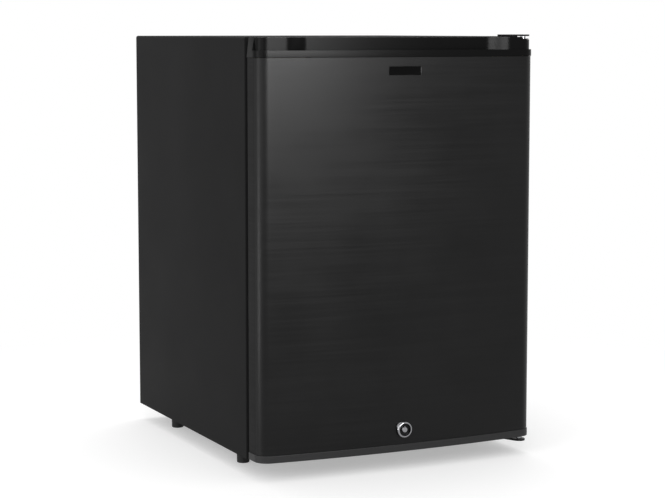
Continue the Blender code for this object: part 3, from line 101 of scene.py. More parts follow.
def math_node(tree, operation, first, second):
    """The result of one sum."""
    inputs = {0: first, 1: second}
    return add_node(tree, "ShaderNodeMath", inputs, operation=operation).outputs[0]


def shaded(tree, colour, by):
    """A colour made darker or lighter by a factor."""
    inputs = {0: colour, "Scale": by}
    return add_node(tree, "ShaderNodeVectorMath", inputs, operation="SCALE").outputs[0]


def place_on(tree):
    """The place on a piece, in its own coordinates."""
    return add_node(tree, "ShaderNodeTexCoord").outputs["Object"]


def noise(tree, place, scale, detail=2.0):
    """A noise at a place, between nought and one."""
    inputs = {"Vector": place, "Scale": scale, "Detail": detail}
    return add_node(tree, "ShaderNodeTexNoise", inputs).outputs[0]


def ranged(tree, value, low, high, start=0.0, end=1.0):
    """A value that runs from start to end, made to run from low to high."""
    inputs = {0: value, 1: start, 2: end, 3: low, 4: high}
    return add_node(tree, "ShaderNodeMapRange", inputs).outputs[0]


def make_pebble_effect():
    """Fine pebbling with a broad drift in tone, and dust on what faces up."""
    tree, given = start_effect("Pebbled surface", [
        ("Color", "Color", (0.5, 0.5, 0.5, 1.0)),
        ("Roughness", "Float", 0.5),
        ("Grain", "Float", 900.0),
        ("Depth", "Float", 0.1),
        ("Drift", "Float", 0.1),
        ("Dust", "Float", 0.0),
    ])
    place = place_on(tree)
    broad = noise(tree, place, scale=9.0, detail=4.0)
    drift = math_node(tree, "MULTIPLY", math_node(tree, "SUBTRACT", broad, 0.5), given["Drift"])
    tone = shaded(tree, given["Color"], math_node(tree, "ADD", drift, 1.0))
    normal = add_node(tree, "ShaderNodeNewGeometry").outputs["Normal"]
    upward = add_node(tree, "ShaderNodeSeparateXYZ", {"Vector": normal}).outputs["Z"]
    lying = ranged(tree, upward, low=0.0, high=1.0, start=0.6)
    settled = math_node(tree, "MULTIPLY", lying, given["Dust"])
    patchy = math_node(tree, "MULTIPLY", settled, broad)
    dusty = add_node(
        tree, "ShaderNodeMix", {"Factor": patchy, 6: tone, 7: DUST_PALE}, data_type="RGBA"
    )
    rougher = math_node(tree, "ADD", given["Roughness"], drift)
    grain = noise(tree, place, scale=given["Grain"])
    return end_effect(
        tree,
        Color=dusty.outputs[2],
        Roughness=math_node(tree, "ADD", rougher, patchy),
        Normal=bumped(tree, grain, given["Depth"], distance=0.0003),
    )


pebble_effect = make_pebble_effect()


def start_finish(name, **constants):
    """A material whose plain values sit on the shader itself; returns it with its shader."""
    material = bpy.data.materials.new(name)
    material.use_nodes = True
    shader = material.node_tree.nodes["Principled BSDF"]
    for label, value in constants.items():
        shader.inputs[label.replace("_", " ")].default_value = value
    return material, shader


def place_effect(tree, shader, effect, values):
    """Place an effect in a material with its own values, and lead all it gives to the shader."""
    made = add_node(tree, "ShaderNodeGroup", values, node_tree=effect)
    for given in made.outputs:
        target = "Base Color" if given.name == "Color" else given.name
        tree.links.new(given, shader.inputs[target])
    return made


def make_finish(name, effect, values, **constants):
    """A material that one effect makes."""
    material, shader = start_finish(name, **constants)
    place_effect(material.node_tree, shader, effect, values)
    return material


def pebbled(name, colour, roughness, grain, depth, drift=0.12, dust=0.0, **constants):
    """A painted or moulded finish."""
    values = {"Color": colour, "Roughness": roughness, "Grain": grain, "Depth": depth}
    values.update({"Drift": drift, "Dust": dust})
    return make_finish(name, pebble_effect, values, **constants)


powder_coat = pebbled(
    "Powder coat", POWDER_BLACK, roughness=0.68, grain=1500.0, depth=0.35, drift=0.14, dust=0.03,
    Specular_IOR_Level=0.09,
)


def add_block(bm, low, high):
    """Add a block between two corners, and return its corners."""
    low, high = Vector(low), Vector(high)
    place = Matrix.Translation((low + high) / 2) @ Matrix.Diagonal((*(high - low), 1.0))
    return bmesh.ops.create_cube(bm, size=1.0, matrix=place)["verts"]


def edges_where(bm, test):
    """The edges whose two ends both pass a test."""
    return [edge for edge in bm.edges if all(test(vert.co) for vert in edge.verts)]


def round_off(bm, edges, radius, segments=4):
    """Round edges to a radius."""
    bmesh.ops.bevel(
        bm,
        geom=edges,
        offset=radius,
        offset_type="OFFSET",
        segments=segments,
        profile=0.5,
        affect="EDGES",
        material=-1,
    )


def drop_faces(bm, test):
    """Take away the faces whose normals pass a test."""
    dropped = [face for face in bm.faces if test(face.normal)]
    bmesh.ops.delete(bm, geom=dropped, context="FACES")


def cut_window(bm, faces, low, high):
    """Cut a window in upright faces, from one (x, z) corner to the other."""
    live = list(faces)
    for axis, ends in zip((Vector((1, 0, 0)), Vector((0, 0, 1))), zip(low, high)):
        for end in ends:
            geom = live + list(dict.fromkeys(e for face in live for e in face.edges))
            geom += list(dict.fromkeys(v for face in live for v in face.verts))
            cut = bmesh.ops.bisect_plane(bm, geom=geom, plane_co=axis * end, plane_no=axis)
            live = [item for item in cut["geom"] if isinstance(item, bmesh.types.BMFace)]
    inside = []
    for face in live:
        middle = face.calc_center_median()
        if low[0] < middle.x < high[0] and low[1] < middle.z < high[1]:
            inside.append(face)
    bmesh.ops.delete(bm, geom=inside, context="FACES")


def verts_in(geom):
    """The points among what an operator made."""
    return [item for item in geom if isinstance(item, bmesh.types.BMVert)]


def edges_in(geom):
    """The edges among what an operator made."""
    return [item for item in geom if isinstance(item, bmesh.types.BMEdge)]


def put_piece(name, bm, finish, body, replaced, smooth=30.0):
    """Make a finished piece that rides on a body and stands for its CAD nodes."""
    mesh = bpy.data.meshes.new(name)
    bm.to_mesh(mesh)
    bm.free()
    mesh.materials.append(finish)
    mesh.shade_smooth()
    if smooth:
        mesh.set_sharp_from_angle(angle=math.radians(smooth))
    piece = bpy.data.objects.new(name, mesh)
    bpy.context.scene.collection.objects.link(piece)
    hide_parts(*replaced)
    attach(piece, body)
    return piece


def soften(piece, width, segments=3, angle=30.0):
    """Round a piece's sharp edges a little, as tooling and paint leave them."""
    made = piece.modifiers.new("Edges", "BEVEL")
    made.width = width
    made.segments = segments
    made.limit_method = "ANGLE"
    made.angle_limit = math.radians(angle)
    made.harden_normals = True


def thicken(piece, wall):
    """Give a sheet its thickness behind its face, with softened edges."""
    made = piece.modifiers.new("Wall", "SOLIDIFY")
    made.thickness = wall
    made.offset = -1.0
    made.use_even_offset = True
    soften(piece, SHEET_EDGE, segments=2)


casing_low, casing_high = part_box("cabinet_shell")
liner_low, liner_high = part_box("inner_liner")
bm = bmesh.new()
add_block(bm, casing_low, casing_high)
drop_faces(bm, lambda normal: normal.z < -0.5 or normal.y > 0.5)
top_runs = [
    edge for edge in edges_where(bm, lambda co: co.z > casing_high.z - NEAR)
    if abs(edge.verts[0].co.y - edge.verts[1].co.y) > NEAR
]
round_off(bm, top_runs, CASING_TOP_BEND, segments=6)
front_edges = edges_where(bm, lambda co: co.y < casing_low.y + NEAR)
front_fold = [edge for edge in front_edges if len(edge.link_faces) == 2]
round_off(bm, front_fold, CASING_FRONT_BEND)
cut_window(
    bm,
    [face for face in bm.faces if face.normal.y < -0.99],
    (liner_low.x - WINDOW_GAP, casing_low.z - WINDOW_PAST),
    (liner_high.x + WINDOW_GAP, liner_high.z + WINDOW_GAP),
)
hem_edges = edges_where(bm, lambda co: co.y > casing_high.y - NEAR)
for depth in (0.0, CASING_HEM_DEPTH):
    folded = bmesh.ops.extrude_edge_only(bm, edges=hem_edges)["geom"]
    hem_edges = edges_in(folded)
    for vert in verts_in(folded):
        if depth:
            vert.co.y -= depth
        else:
            vert.co.x -= math.copysign(CASING_HEM_GAP, vert.co.x)
            vert.co.z = min(vert.co.z, casing_high.z - CASING_HEM_GAP)
            vert.co.z = max(vert.co.z, casing_low.z + CASING_HEM_GAP)
casing = put_piece("casing", bm, powder_coat, "cabinet", ["cabinet_shell"])
thicken(casing, CASING_SHEET)


# The base panel is a second steel sheet, pressed flat and folded up under the opening. Two
# threaded collars for the front feet are welded to it, and it is coated with the casing.

PRESSED_EDGE = 0.0003
MERGE = 0.00001


def merged(name):
    """A copy of a CAD node's mesh with its doubles merged and its flat faces made whole."""
    bm = bmesh.new()
    bm.from_mesh(nodes[name].data)
    bmesh.ops.remove_doubles(bm, verts=bm.verts, dist=MERGE)
    flat = math.radians(1.0)
    bmesh.ops.dissolve_limit(bm, angle_limit=flat, verts=bm.verts, edges=bm.edges)
    return bm


def refine(node, name, finish, body, width, segments=3, angle=30.0):
    """Stand in for a CAD node with a copy that has rounded edges."""
    piece = put_piece(name, merged(node), finish, body, [node], smooth=None)
    soften(piece, width, segments=segments, angle=angle)


refine("base_panel", "base_plate", powder_coat, "cabinet", PRESSED_EDGE)


# The back panel is hot-dip galvanised steel, left bare, which closes the foam behind the room.
# Zinc freezes on it in flat crystals a centimetre across.

GALVANISED = (0.44, 0.45, 0.46, 1.0)


def make_spangle_effect():
    """Flat zinc crystals, each of its own tone, with a little grey bloom over them."""
    tree, given = start_effect("Zinc spangle", [
        ("Color", "Color", GALVANISED),
        ("Roughness", "Float", 0.4),
        ("Size", "Float", 90.0),
    ])
    place = place_on(tree)
    crystals = add_node(
        tree, "ShaderNodeTexVoronoi", {"Vector": place, "Scale": given["Size"]}, feature="F1"
    ).outputs
    split = add_node(tree, "ShaderNodeSeparateColor", {"Color": crystals["Color"]}).outputs
    tone = ranged(tree, split[0], low=0.86, high=1.06)
    bloom = ranged(
        tree, noise(tree, place, scale=14.0, detail=5.0), low=0.90, high=1.0, start=0.3, end=0.7
    )
    swing = math_node(tree, "MULTIPLY", split[1], 0.12)
    return end_effect(
        tree,
        Color=shaded(tree, given["Color"], math_node(tree, "MULTIPLY", tone, bloom)),
        Roughness=math_node(tree, "ADD", given["Roughness"], swing),
        Normal=bumped(tree, crystals["Distance"], strength=0.12, distance=0.0004),
    )


spangle_effect = make_spangle_effect()


def galvanised(name, size, roughness):
    """A zinc-coated sheet with crystals of a given size."""
    values = {"Color": GALVANISED, "Roughness": roughness, "Size": size}
    return make_finish(name, spangle_effect, values, Metallic=0.9)


galvanised_sheet = galvanised("Galvanised sheet", size=120.0, roughness=0.40)
refine("back_panel", "rear_sheet", galvanised_sheet, "cabinet", SHEET_EDGE)


# Polyurethane foam fills the cabinet and the door, blown in between casing and liner, and a
# cut block of it plugs the hole behind the evaporator. It sets a pale yellow with fine cells.

FOAM_COLOURS = ((0.52, 0.40, 0.20, 1.0), (0.70, 0.60, 0.36, 1.0))
PLUG_EDGE = 0.0008


def make_foam_finish():
    """Rigid blown foam."""
    material, shader = start_finish("Blown foam", Specular_IOR_Level=0.2)
    tree = material.node_tree
    place = place_on(tree)
    cells = add_node(tree, "ShaderNodeTexVoronoi", {"Vector": place, "Scale": 700.0}).outputs
    clouds = noise(tree, place, scale=25.0, detail=4.0)
    ramp = add_node(tree, "ShaderNodeValToRGB", {"Fac": clouds})
    for stop, position, colour in zip(ramp.color_ramp.elements, (0.3, 0.7), FOAM_COLOURS):
        stop.position = position
        stop.color = colour
    dry = ranged(tree, cells["Distance"], low=0.8, high=0.95)
    grain = bumped(tree, cells["Distance"], strength=0.6, distance=0.0005)
    tree.links.new(ramp.outputs[0], shader.inputs["Base Color"])
    tree.links.new(dry, shader.inputs["Roughness"])
    tree.links.new(grain, shader.inputs["Normal"])
    return material


blown_foam = make_foam_finish()


def dress(name, finish):
    """Give a CAD node that keeps its own shape a finish."""
    mesh = nodes[name].data
    mesh.materials.clear()
    mesh.materials.append(finish)


dress("cabinet_foam", blown_foam)
dress("door_foam", blown_foam)
refine("foam_plug", "plug_foam", blown_foam, "cabinet", PLUG_EDGE, segments=2)


# The inner liner is vacuum formed from one sheet of white polystyrene, so its corners are
# round. Four pairs of ribs on each side are formed with it and carry the shelves and the tray.

LINER_WALL = 0.002
LINER_CORNER = 0.008
LINER_RIB_SINK = 0.0008
LINER_RIB_EDGE = 0.0011
RIB_DEPTH = 0.008
RIB_HEIGHT = 0.003
RIB_START = 0.012
RIB_HALF_GAPS = (0.0028, 0.0032)
RIB_LEVELS = (0.2235, 0.2735, 0.3235, 0.4035)
WHITE_LINER = (0.71, 0.72, 0.72, 1.0)

white_liner = pebbled(
    "White liner", WHITE_LINER, roughness=0.30, grain=520.0, depth=0.05, drift=0.07, dust=0.0,
    Specular_IOR_Level=0.5,
)



def inner_edges(bm):
    """The edges between two faces."""
    return [edge for edge in bm.edges if len(edge.link_faces) == 2]


def open_block(low, high, is_mouth, radius):
    """A block with its mouth taken off and the edges that are left rounded."""
    bm = bmesh.new()
    add_block(bm, low, high)
    drop_faces(bm, is_mouth)
    round_off(bm, inner_edges(bm), radius, segments=6)
    return bm


room_low = liner_low + Vector((LINER_WALL, 0, LINER_WALL))
room_high = liner_high - Vector((LINER_WALL, LINER_WALL, LINER_WALL))
plug_low, plug_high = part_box("foam_plug")
bm = open_block(room_low, room_high, lambda normal: normal.y < -0.5, LINER_CORNER)
cut_window(
    bm,
    [face for face in bm.faces if face.normal.y > 0.99],
    (plug_low.x - WINDOW_GAP, plug_low.z - WINDOW_GAP),
    (plug_high.x + WINDOW_GAP, plug_high.z + WINDOW_GAP),
)
bmesh.ops.reverse_faces(bm, faces=bm.faces)
tub = put_piece("liner_tub", bm, white_liner, "cabinet", ["inner_liner"])
thicken(tub, LINER_WALL)

bm = bmesh.new()
for level in RIB_LEVELS:
    lower, upper = level - RIB_HALF_GAPS[0], level + RIB_HALF_GAPS[1]
    for side in (-1, 1):
        wall = side * (room_high.x + LINER_RIB_SINK)
        tip = side * (room_high.x - RIB_DEPTH)
        for foot, head in ((lower - RIB_HEIGHT, lower), (upper, upper + RIB_HEIGHT)):
            add_block(
                bm,
                (min(wall, tip), room_low.y + RIB_START, foot),
                (max(wall, tip), room_high.y + LINER_RIB_SINK, head),
            )
free_edges = edges_where(bm, lambda co: abs(co.x) < room_high.x - RIB_DEPTH / 2)
front_rim = edges_where(bm, lambda co: co.y < room_low.y + RIB_START + NEAR)
front_rim = [edge for edge in front_rim if edge not in free_edges]
round_off(bm, free_edges + front_rim, LINER_RIB_EDGE)
put_piece("liner_ribs", bm, white_liner, "cabinet", ["inner_liner"])


# The trim is an extruded grey vinyl frame that clips over the edge of the liner and hides its
# joint with the casing. The door's seal closes against the steel beside it.

TRIM_EDGE = 0.0005
GREY_TRIM = (0.085, 0.086, 0.088, 1.0)

grey_vinyl = pebbled("Grey vinyl", GREY_TRIM, roughness=0.48, grain=1100.0, depth=0.12, drift=0.10)
refine("opening_trim", "mouth_trim", grey_vinyl, "cabinet", TRIM_EDGE)


# The evaporator is an aluminium extrusion with fifteen upright fins, bolted over the cold
# pipe. Drawing leaves fine lines along the fins, and damp leaves a dull bloom on them.

FIN_EDGE = 0.0004
FIN_SILVER = (0.50, 0.51, 0.52, 1.0)


def make_grain_effect():
    """Fine lines drawn one way, which vary the tone, the gloss and the height."""
    tree, given = start_effect("Drawn grain", [
        ("Color", "Color", (0.5, 0.5, 0.5, 1.0)),
        ("Roughness", "Float", 0.4),
        ("Stretch", "Vector", (1.0, 1.0, 1.0)),
        ("Contrast", "Float", 0.2),
        ("Depth", "Float", 0.1),
    ])
    place = place_on(tree)
    drawn = add_node(tree, "ShaderNodeMapping", {"Vector": place, "Scale": given["Stretch"]})
    lines = noise(tree, drawn.outputs[0], scale=1.0, detail=5.0)
    mixed = math_node(tree, "ADD", lines, noise(tree, place, scale=11.0, detail=3.0))
    swing = math_node(tree, "MULTIPLY", math_node(tree, "SUBTRACT", mixed, 1.0), given["Contrast"])
    gloss = math_node(tree, "MULTIPLY", swing, 0.5)
    return end_effect(
        tree,
        Color=shaded(tree, given["Color"], math_node(tree, "ADD", swing, 1.0)),
        Roughness=math_node(tree, "ADD", given["Roughness"], gloss),
        Normal=bumped(tree, lines, given["Depth"], distance=0.0002),
    )


grain_effect = make_grain_effect()


def grained(name, colour, roughness, stretch, contrast, depth, **constants):
    """A drawn, rolled or brushed finish."""
    values = {"Color": colour, "Roughness": roughness, "Stretch": stretch, "Contrast": contrast}
    values["Depth"] = depth
    return make_finish(name, grain_effect, values, **constants)


drawn_aluminium = grained(
    "Drawn aluminium", FIN_SILVER, roughness=0.50, stretch=(1600.0, 1600.0, 14.0), contrast=0.35,
    depth=0.25, Metallic=1.0,
)
refine(
    "evaporator_fins", "cooling_fins", drawn_aluminium, "cabinet", FIN_EDGE,
    segments=2,
)


# The cooling unit is welded from drawn steel pipe, bent cold and stove-enamelled black as one
# piece: condenser, evaporator pipe, riser, heat exchanger, absorber coil and vessel.

PIPE_SIDES = 24
PIPE_BLACK = (0.022, 0.022, 0.023, 1.0)
UNIT_Y = 0.18325
TOUCH = 0.0003
CONDENSER_Z = 0.5145
COLD_LOOP_Z = 0.4695
COLD_BEND = 0.015
COLD_RADIUS = 0.007
COLD_REACH = 0.013
CONDENSER_HALF = 0.110
CONDENSER_RADIUS = 0.008
RISER_BEND = 0.0127
DISC_RADIUS = 0.025
DISC_EDGE = 0.0006
DISC_COLLAR = 0.0014
DISC_PITCH = 0.018
DISC_COUNT = 10
EXCHANGER_TOP = 0.4395
EXCHANGER_X = 0.070
EXCHANGER_RADIUS = 0.011
BOILER_X = 0.128
WELD_BULGE = 0.0009
WELD_BACK = 0.002
WELD_UP = 0.0035
STRAIGHT = math.radians(0.05)

enamel = pebbled(
    "Stove enamel", PIPE_BLACK, roughness=0.36, grain=800.0, depth=0.22, drift=0.2, dust=0.10,
    Specular_IOR_Level=0.4,
)


def bent(corners, radius, steps=8):
    """A route along straight runs, with each corner bent to a radius."""
    points = [Vector(corner) for corner in corners]
    route = [points[0]]
    for before, here, after in zip(points, points[1:], points[2:]):
        back = (before - here).normalized()
        ahead = (after - here).normalized()
        turn = math.pi - back.angle(ahead)
        if turn < STRAIGHT:
            continue
        reach = radius * math.tan(turn / 2)
        axis = back.cross(ahead).normalized()
        start = here + back * reach
        hub = here + (back + ahead).normalized() * radius / math.cos(turn / 2)
        arm = start - hub
        for step in range(steps + 1):
            spun = Matrix.Rotation(-turn * step / steps, 3, axis) @ arm
            route.append(hub + spun)
    return route + [points[-1]]


def add_pipe(bm, route, radius, sides=PIPE_SIDES, closed=False):
    """Add a round pipe along a route of points."""
    curve = bpy.data.curves.new("route", "CURVE")
    curve.dimensions = "3D"
    curve.bevel_depth = radius
    curve.bevel_resolution = sides // 4 - 1
    curve.use_fill_caps = not closed
    spline = curve.splines.new("POLY")
    spline.points.add(len(route) - 1)
    for point, place in zip(spline.points, route):
        point.co = (*place, 1.0)
    spline.use_cyclic_u = closed
    carrier = bpy.data.objects.new("route", curve)
    mesh = bpy.data.meshes.new_from_object(carrier)
    bm.from_mesh(mesh)
    bpy.data.objects.remove(carrier)
    bpy.data.curves.remove(curve)
    bpy.data.meshes.remove(mesh)


def close_up(bm):
    """Merge the seams that spinning and joining leave, and turn all faces outwards."""
    bmesh.ops.remove_doubles(bm, verts=bm.verts, dist=MERGE)
    bmesh.ops.recalc_face_normals(bm, faces=bm.faces)


def add_turned(bm, profile, place, sides):
    """Turn a half outline of (radius, height) pairs about the local Z of a place."""
    made = []
    for radius, height in profile:
        made.append(bm.verts.new(place @ Vector((radius, 0.0, height))))
    runs = [bm.edges.new(pair) for pair in zip(made, made[1:])]
    axis = (place.to_3x3() @ Vector((0, 0, 1))).normalized()
    bmesh.ops.spin(
        bm,
        geom=made + runs,
        cent=place.translation,
        axis=axis,
        angle=math.tau,
        steps=sides,
        use_merge=True,
    )


def turned(profile, place, sides):
    """A turned shape of its own, closed and facing outwards."""
    bm = bmesh.new()
    add_turned(bm, profile, place, sides=sides)
    close_up(bm)
    return bm


def at(x, y, z, towards="z"):
    """A place whose local Z points along an axis: "-y" is out of the door."""
    turns = {
        "z": Matrix(),
        "-z": Matrix.Rotation(math.pi, 4, "X"),
        "x": Matrix.Rotation(math.pi / 2, 4, "Y"),
        "-x": Matrix.Rotation(-math.pi / 2, 4, "Y"),
        "y": Matrix.Rotation(-math.pi / 2, 4, "X"),
        "-y": Matrix.Rotation(math.pi / 2, 4, "X"),
    }
    return Matrix.Translation((x, y, z)) @ turns[towards]


def centre(node):
    """The middle of a node's box."""
    return [(low + high) / 2 for low, high in zip(*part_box(node))]


def pipe(corners, bend, radius, steps=8):
    """A pipe bent through its corners."""
    bm = bmesh.new()
    add_pipe(bm, bent(corners, bend, steps), radius)
    close_up(bm)
    return bm


def put_unit_piece(name, bm, node, welds=()):
    """Put a piece of the unit in place with the rings of weld that stand out round it."""
    for place, radius, bulge in welds:
        profile = []
        for step in range(7):
            turn = math.pi * step / 6
            out = radius - bulge / 2 + bulge * 1.5 * math.sin(turn)
            profile.append((out, -bulge * 1.6 * math.cos(turn)))
        add_turned(bm, profile + [profile[0]], place, sides=28)
    bmesh.ops.recalc_face_normals(bm, faces=bm.faces)
    put_piece(name, bm, enamel, "cabinet", [node])


cold_inlet = CONDENSER_HALF + TOUCH
cold_outer = cold_inlet + COLD_BEND * 2
cold_inside = room_high.y + COLD_REACH
cold_corners = [
    (-cold_inlet, UNIT_Y, CONDENSER_Z),
    (-cold_outer, UNIT_Y, CONDENSER_Z),
    (-cold_outer, UNIT_Y, COLD_LOOP_Z),
    (-EXCHANGER_X, UNIT_Y, COLD_LOOP_Z),
    (-EXCHANGER_X, cold_inside, COLD_LOOP_Z),
    (EXCHANGER_X, cold_inside, COLD_LOOP_Z),
    (EXCHANGER_X, UNIT_Y, COLD_LOOP_Z),
    (EXCHANGER_X, UNIT_Y, EXCHANGER_TOP + TOUCH),
]
put_unit_piece("cold_pipe", pipe(cold_corners, COLD_BEND, COLD_RADIUS), "evaporator_tube")

# The condenser is a straight pipe with ten round fins pressed on it, each with a rolled collar
# where it grips. The riser brings hot vapour up from the boiler and is welded to its end.

profile = [(0.0, -CONDENSER_HALF), (CONDENSER_RADIUS, -CONDENSER_HALF)]
for count in range(DISC_COUNT):
    middle = DISC_PITCH * (count - (DISC_COUNT - 1) / 2)
    profile += [
        (CONDENSER_RADIUS, middle - DISC_COLLAR * 2),
        (CONDENSER_RADIUS + DISC_EDGE, middle - DISC_COLLAR * 2),
        (CONDENSER_RADIUS + DISC_EDGE * 2, middle - DISC_EDGE),
        (DISC_RADIUS - DISC_EDGE, middle - DISC_EDGE),
        (DISC_RADIUS, middle - DISC_EDGE / 2),
        (DISC_RADIUS, middle + DISC_EDGE / 2),
        (DISC_RADIUS - DISC_EDGE, middle + DISC_EDGE),
        (CONDENSER_RADIUS, middle + DISC_EDGE),
    ]
profile += [(CONDENSER_RADIUS, CONDENSER_HALF), (0.0, CONDENSER_HALF)]
ends = [at(side * (CONDENSER_HALF - WELD_BACK), UNIT_Y, CONDENSER_Z, "x") for side in (-1, 1)]
put_unit_piece(
    "condenser_fins",
    turned(profile, at(0, UNIT_Y, CONDENSER_Z, "x"), sides=36),
    "condenser",
    [(end, CONDENSER_RADIUS, WELD_BULGE) for end in ends],
)

boiler_low, boiler_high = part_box("boiler_housing")
riser_corners = [
    (BOILER_X, UNIT_Y, boiler_high.z + TOUCH),
    (BOILER_X, UNIT_Y, CONDENSER_Z),
    (CONDENSER_HALF + TOUCH, UNIT_Y, CONDENSER_Z),
]
put_unit_piece(
    "riser_pipe",
    pipe(riser_corners, RISER_BEND, CONDENSER_RADIUS),
    "riser_tube",
    [(at(BOILER_X, UNIT_Y, boiler_high.z + WELD_UP), CONDENSER_RADIUS, WELD_BULGE)],
)

# The heat exchanger and the absorber stand below: a stout pipe down to the round vessel, and a
# coil of five level runs that climbs back beside it. Each joint is a ring of weld.

VESSEL_SHOULDER = 0.011
VESSEL_WELD = 0.030
VESSEL_SEAM = 0.0006
VESSEL_LIPS = (0.0008, 0.002)
JOINT_BULGE = 0.0006
JOINT_OUT = 0.001
JOINT_SINKS = (0.0004, 0.0006)
COIL_RADIUS = 0.0065
COIL_LEFT = -0.160
COIL_PITCH = 0.050
COIL_LIFT = 0.030
COIL_RUNS = 5
EXCHANGER_NECK = ((0.0, 0.008), (0.0006, 0.006), (0.0012, 0.002), (0.0030, 0.0))

vessel_low, vessel_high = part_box("absorber_vessel")
vessel_z = centre("absorber_vessel")[2]
vessel_radius = (vessel_high.z - vessel_low.z) / 2
profile = [(0.0, vessel_low.x)]
for step in range(7):
    turn = math.pi / 2 * step / 6
    out = vessel_radius - VESSEL_SHOULDER * (1 - math.sin(turn))
    profile.append((out, vessel_low.x + VESSEL_SHOULDER * (1 - math.cos(turn))))
shoulder = [(min(out, vessel_radius - VESSEL_SEAM), along) for out, along in profile]
seams = []
for edge in (vessel_low.x + VESSEL_WELD, vessel_high.x - VESSEL_WELD):
    seams += [
        (vessel_radius - VESSEL_SEAM, edge - VESSEL_LIPS[1]),
        (vessel_radius, edge - VESSEL_LIPS[0]),
        (vessel_radius, edge + VESSEL_LIPS[0]),
        (vessel_radius - VESSEL_SEAM, edge + VESSEL_LIPS[1]),
    ]
mirrored = [(out, vessel_low.x + vessel_high.x - along) for out, along in reversed(shoulder)]
coil_start = COIL_LEFT + COIL_PITCH
pipes = ((coil_start, COIL_RADIUS), (EXCHANGER_X, EXCHANGER_RADIUS))
joints = [
    (at(x, UNIT_Y, vessel_high.z - sink), radius + JOINT_OUT, JOINT_BULGE)
    for (x, radius), sink in zip(pipes, JOINT_SINKS)
]
drum = turned(shoulder + seams + mirrored, at(0, UNIT_Y, vessel_z, "x"), sides=44)
put_unit_piece("vessel_drum", drum, "absorber_vessel", joints)

coil_low = vessel_high.z + TOUCH
coil_right = EXCHANGER_X - EXCHANGER_RADIUS - TOUCH
coil_corners = [(coil_start, UNIT_Y, coil_low)]
x = coil_start
for count in range(COIL_RUNS):
    level = coil_low + COIL_LIFT + count * COIL_PITCH
    coil_corners.append((x, UNIT_Y, level))
    x = COIL_LEFT if count % 2 else coil_right - COIL_PITCH
    coil_corners.append((x, UNIT_Y, level))
coil_corners[-1] = (coil_right, UNIT_Y, level)
coil = pipe(coil_corners, COIL_PITCH / 2 - TOUCH, COIL_RADIUS, steps=12)
put_unit_piece("coil_pipe", coil, "absorber_coil")

profile = [(0.0, coil_low), (EXCHANGER_RADIUS, coil_low)]
profile += [(EXCHANGER_RADIUS - inward, EXCHANGER_TOP - down) for inward, down in EXCHANGER_NECK]
profile += [(0.0, EXCHANGER_TOP)]
exchanger = turned(profile, at(EXCHANGER_X, UNIT_Y, 0), sides=32)
put_unit_piece("exchanger_pipe", exchanger, "gas_heat_exchanger")


# The boiler's casing is a rolled galvanised sleeve with a lid crimped on each end, packed with
# wool round the generator. Two pressed bands stiffen it, and one seam runs up it at the back.

BOILER_BAND = 0.0007
BOILER_CRIMP = ((0.0, 0.006), (BOILER_BAND, 0.005), (BOILER_BAND, 0.001), (-0.001, 0.0))
BOILER_LID = ((0.004, 0.0), (0.006, 0.0012))
BOILER_LID_SINK = 0.0008
BOILER_BANDS = (0.33, 0.67)
BAND_HALVES = (0.003, 0.005)
SEAM_HALF = 0.003
SEAM_DEPTHS = (0.001, 0.0001)
SEAM_END = 0.006

boiler_radius = (boiler_high.x - boiler_low.x) / 2
boiler_tall = boiler_high.z - boiler_low.z
sleeve = boiler_radius - BOILER_BAND
profile = [(0.0, BOILER_LID_SINK), (sleeve - BOILER_LID[1][0], BOILER_LID_SINK)]
profile += [(sleeve - BOILER_LID[0][0], 0.0)]
profile += [(sleeve + out, up) for out, up in reversed(BOILER_CRIMP)]
for band in BOILER_BANDS:
    middle = boiler_tall * band
    profile += [
        (sleeve, middle - BAND_HALVES[1]),
        (boiler_radius, middle - BAND_HALVES[0]),
        (boiler_radius, middle + BAND_HALVES[0]),
        (sleeve, middle + BAND_HALVES[1]),
    ]
profile += [(sleeve + out, boiler_tall - down) for out, down in BOILER_CRIMP]
profile += [(sleeve - inward, boiler_tall - down) for inward, down in BOILER_LID]
profile += [(0.0, boiler_tall - BOILER_LID[1][1])]
bm = turned(profile, at(BOILER_X, UNIT_Y, boiler_low.z), sides=48)
add_block(
    bm,
    (BOILER_X - SEAM_HALF, UNIT_Y + sleeve - SEAM_DEPTHS[0], boiler_low.z + SEAM_END),
    (BOILER_X + SEAM_HALF, UNIT_Y + boiler_radius - SEAM_DEPTHS[1], boiler_high.z - SEAM_END),
)
boiler_zinc = galvanised("Boiler sleeve", size=130.0, roughness=0.36)
put_piece("boiler_sleeve", bm, boiler_zinc, "cabinet", ["boiler_housing"])


# A galvanised channel across the back holds the unit off the panel. The terminal box beside it
# is moulded black plastic with a screwed lid, and the mains lead would enter by its gland.

CHANNEL_EDGE = 0.0005
BOX_EDGE = 0.0015
LID_DEPTH = 0.006
LID_GAP = 0.0006
LID_INSET = 0.0012
SCREW_INSET = 0.006
SCREW_SINK = 0.0004
LID_SCREW = [(0.0, 0.0003), (0.0012, 0.0003), (0.0012, 0.0), (0.0022, 0.0)]
LID_SCREW += [(0.0028, -0.0005), (0.0028, -0.002), (0.0, -0.002)]
GLAND_WALL = 0.0024
GLAND_FLAT = 0.0010
GLAND_NECK = 0.0066
GLAND_FOOT = 0.0014
GLAND_RIDGES = 4
RIDGE_PITCH = 0.0012
RIDGE_DEPTH = 0.0006
PLASTIC_BLACK = (0.014, 0.014, 0.0145, 1.0)

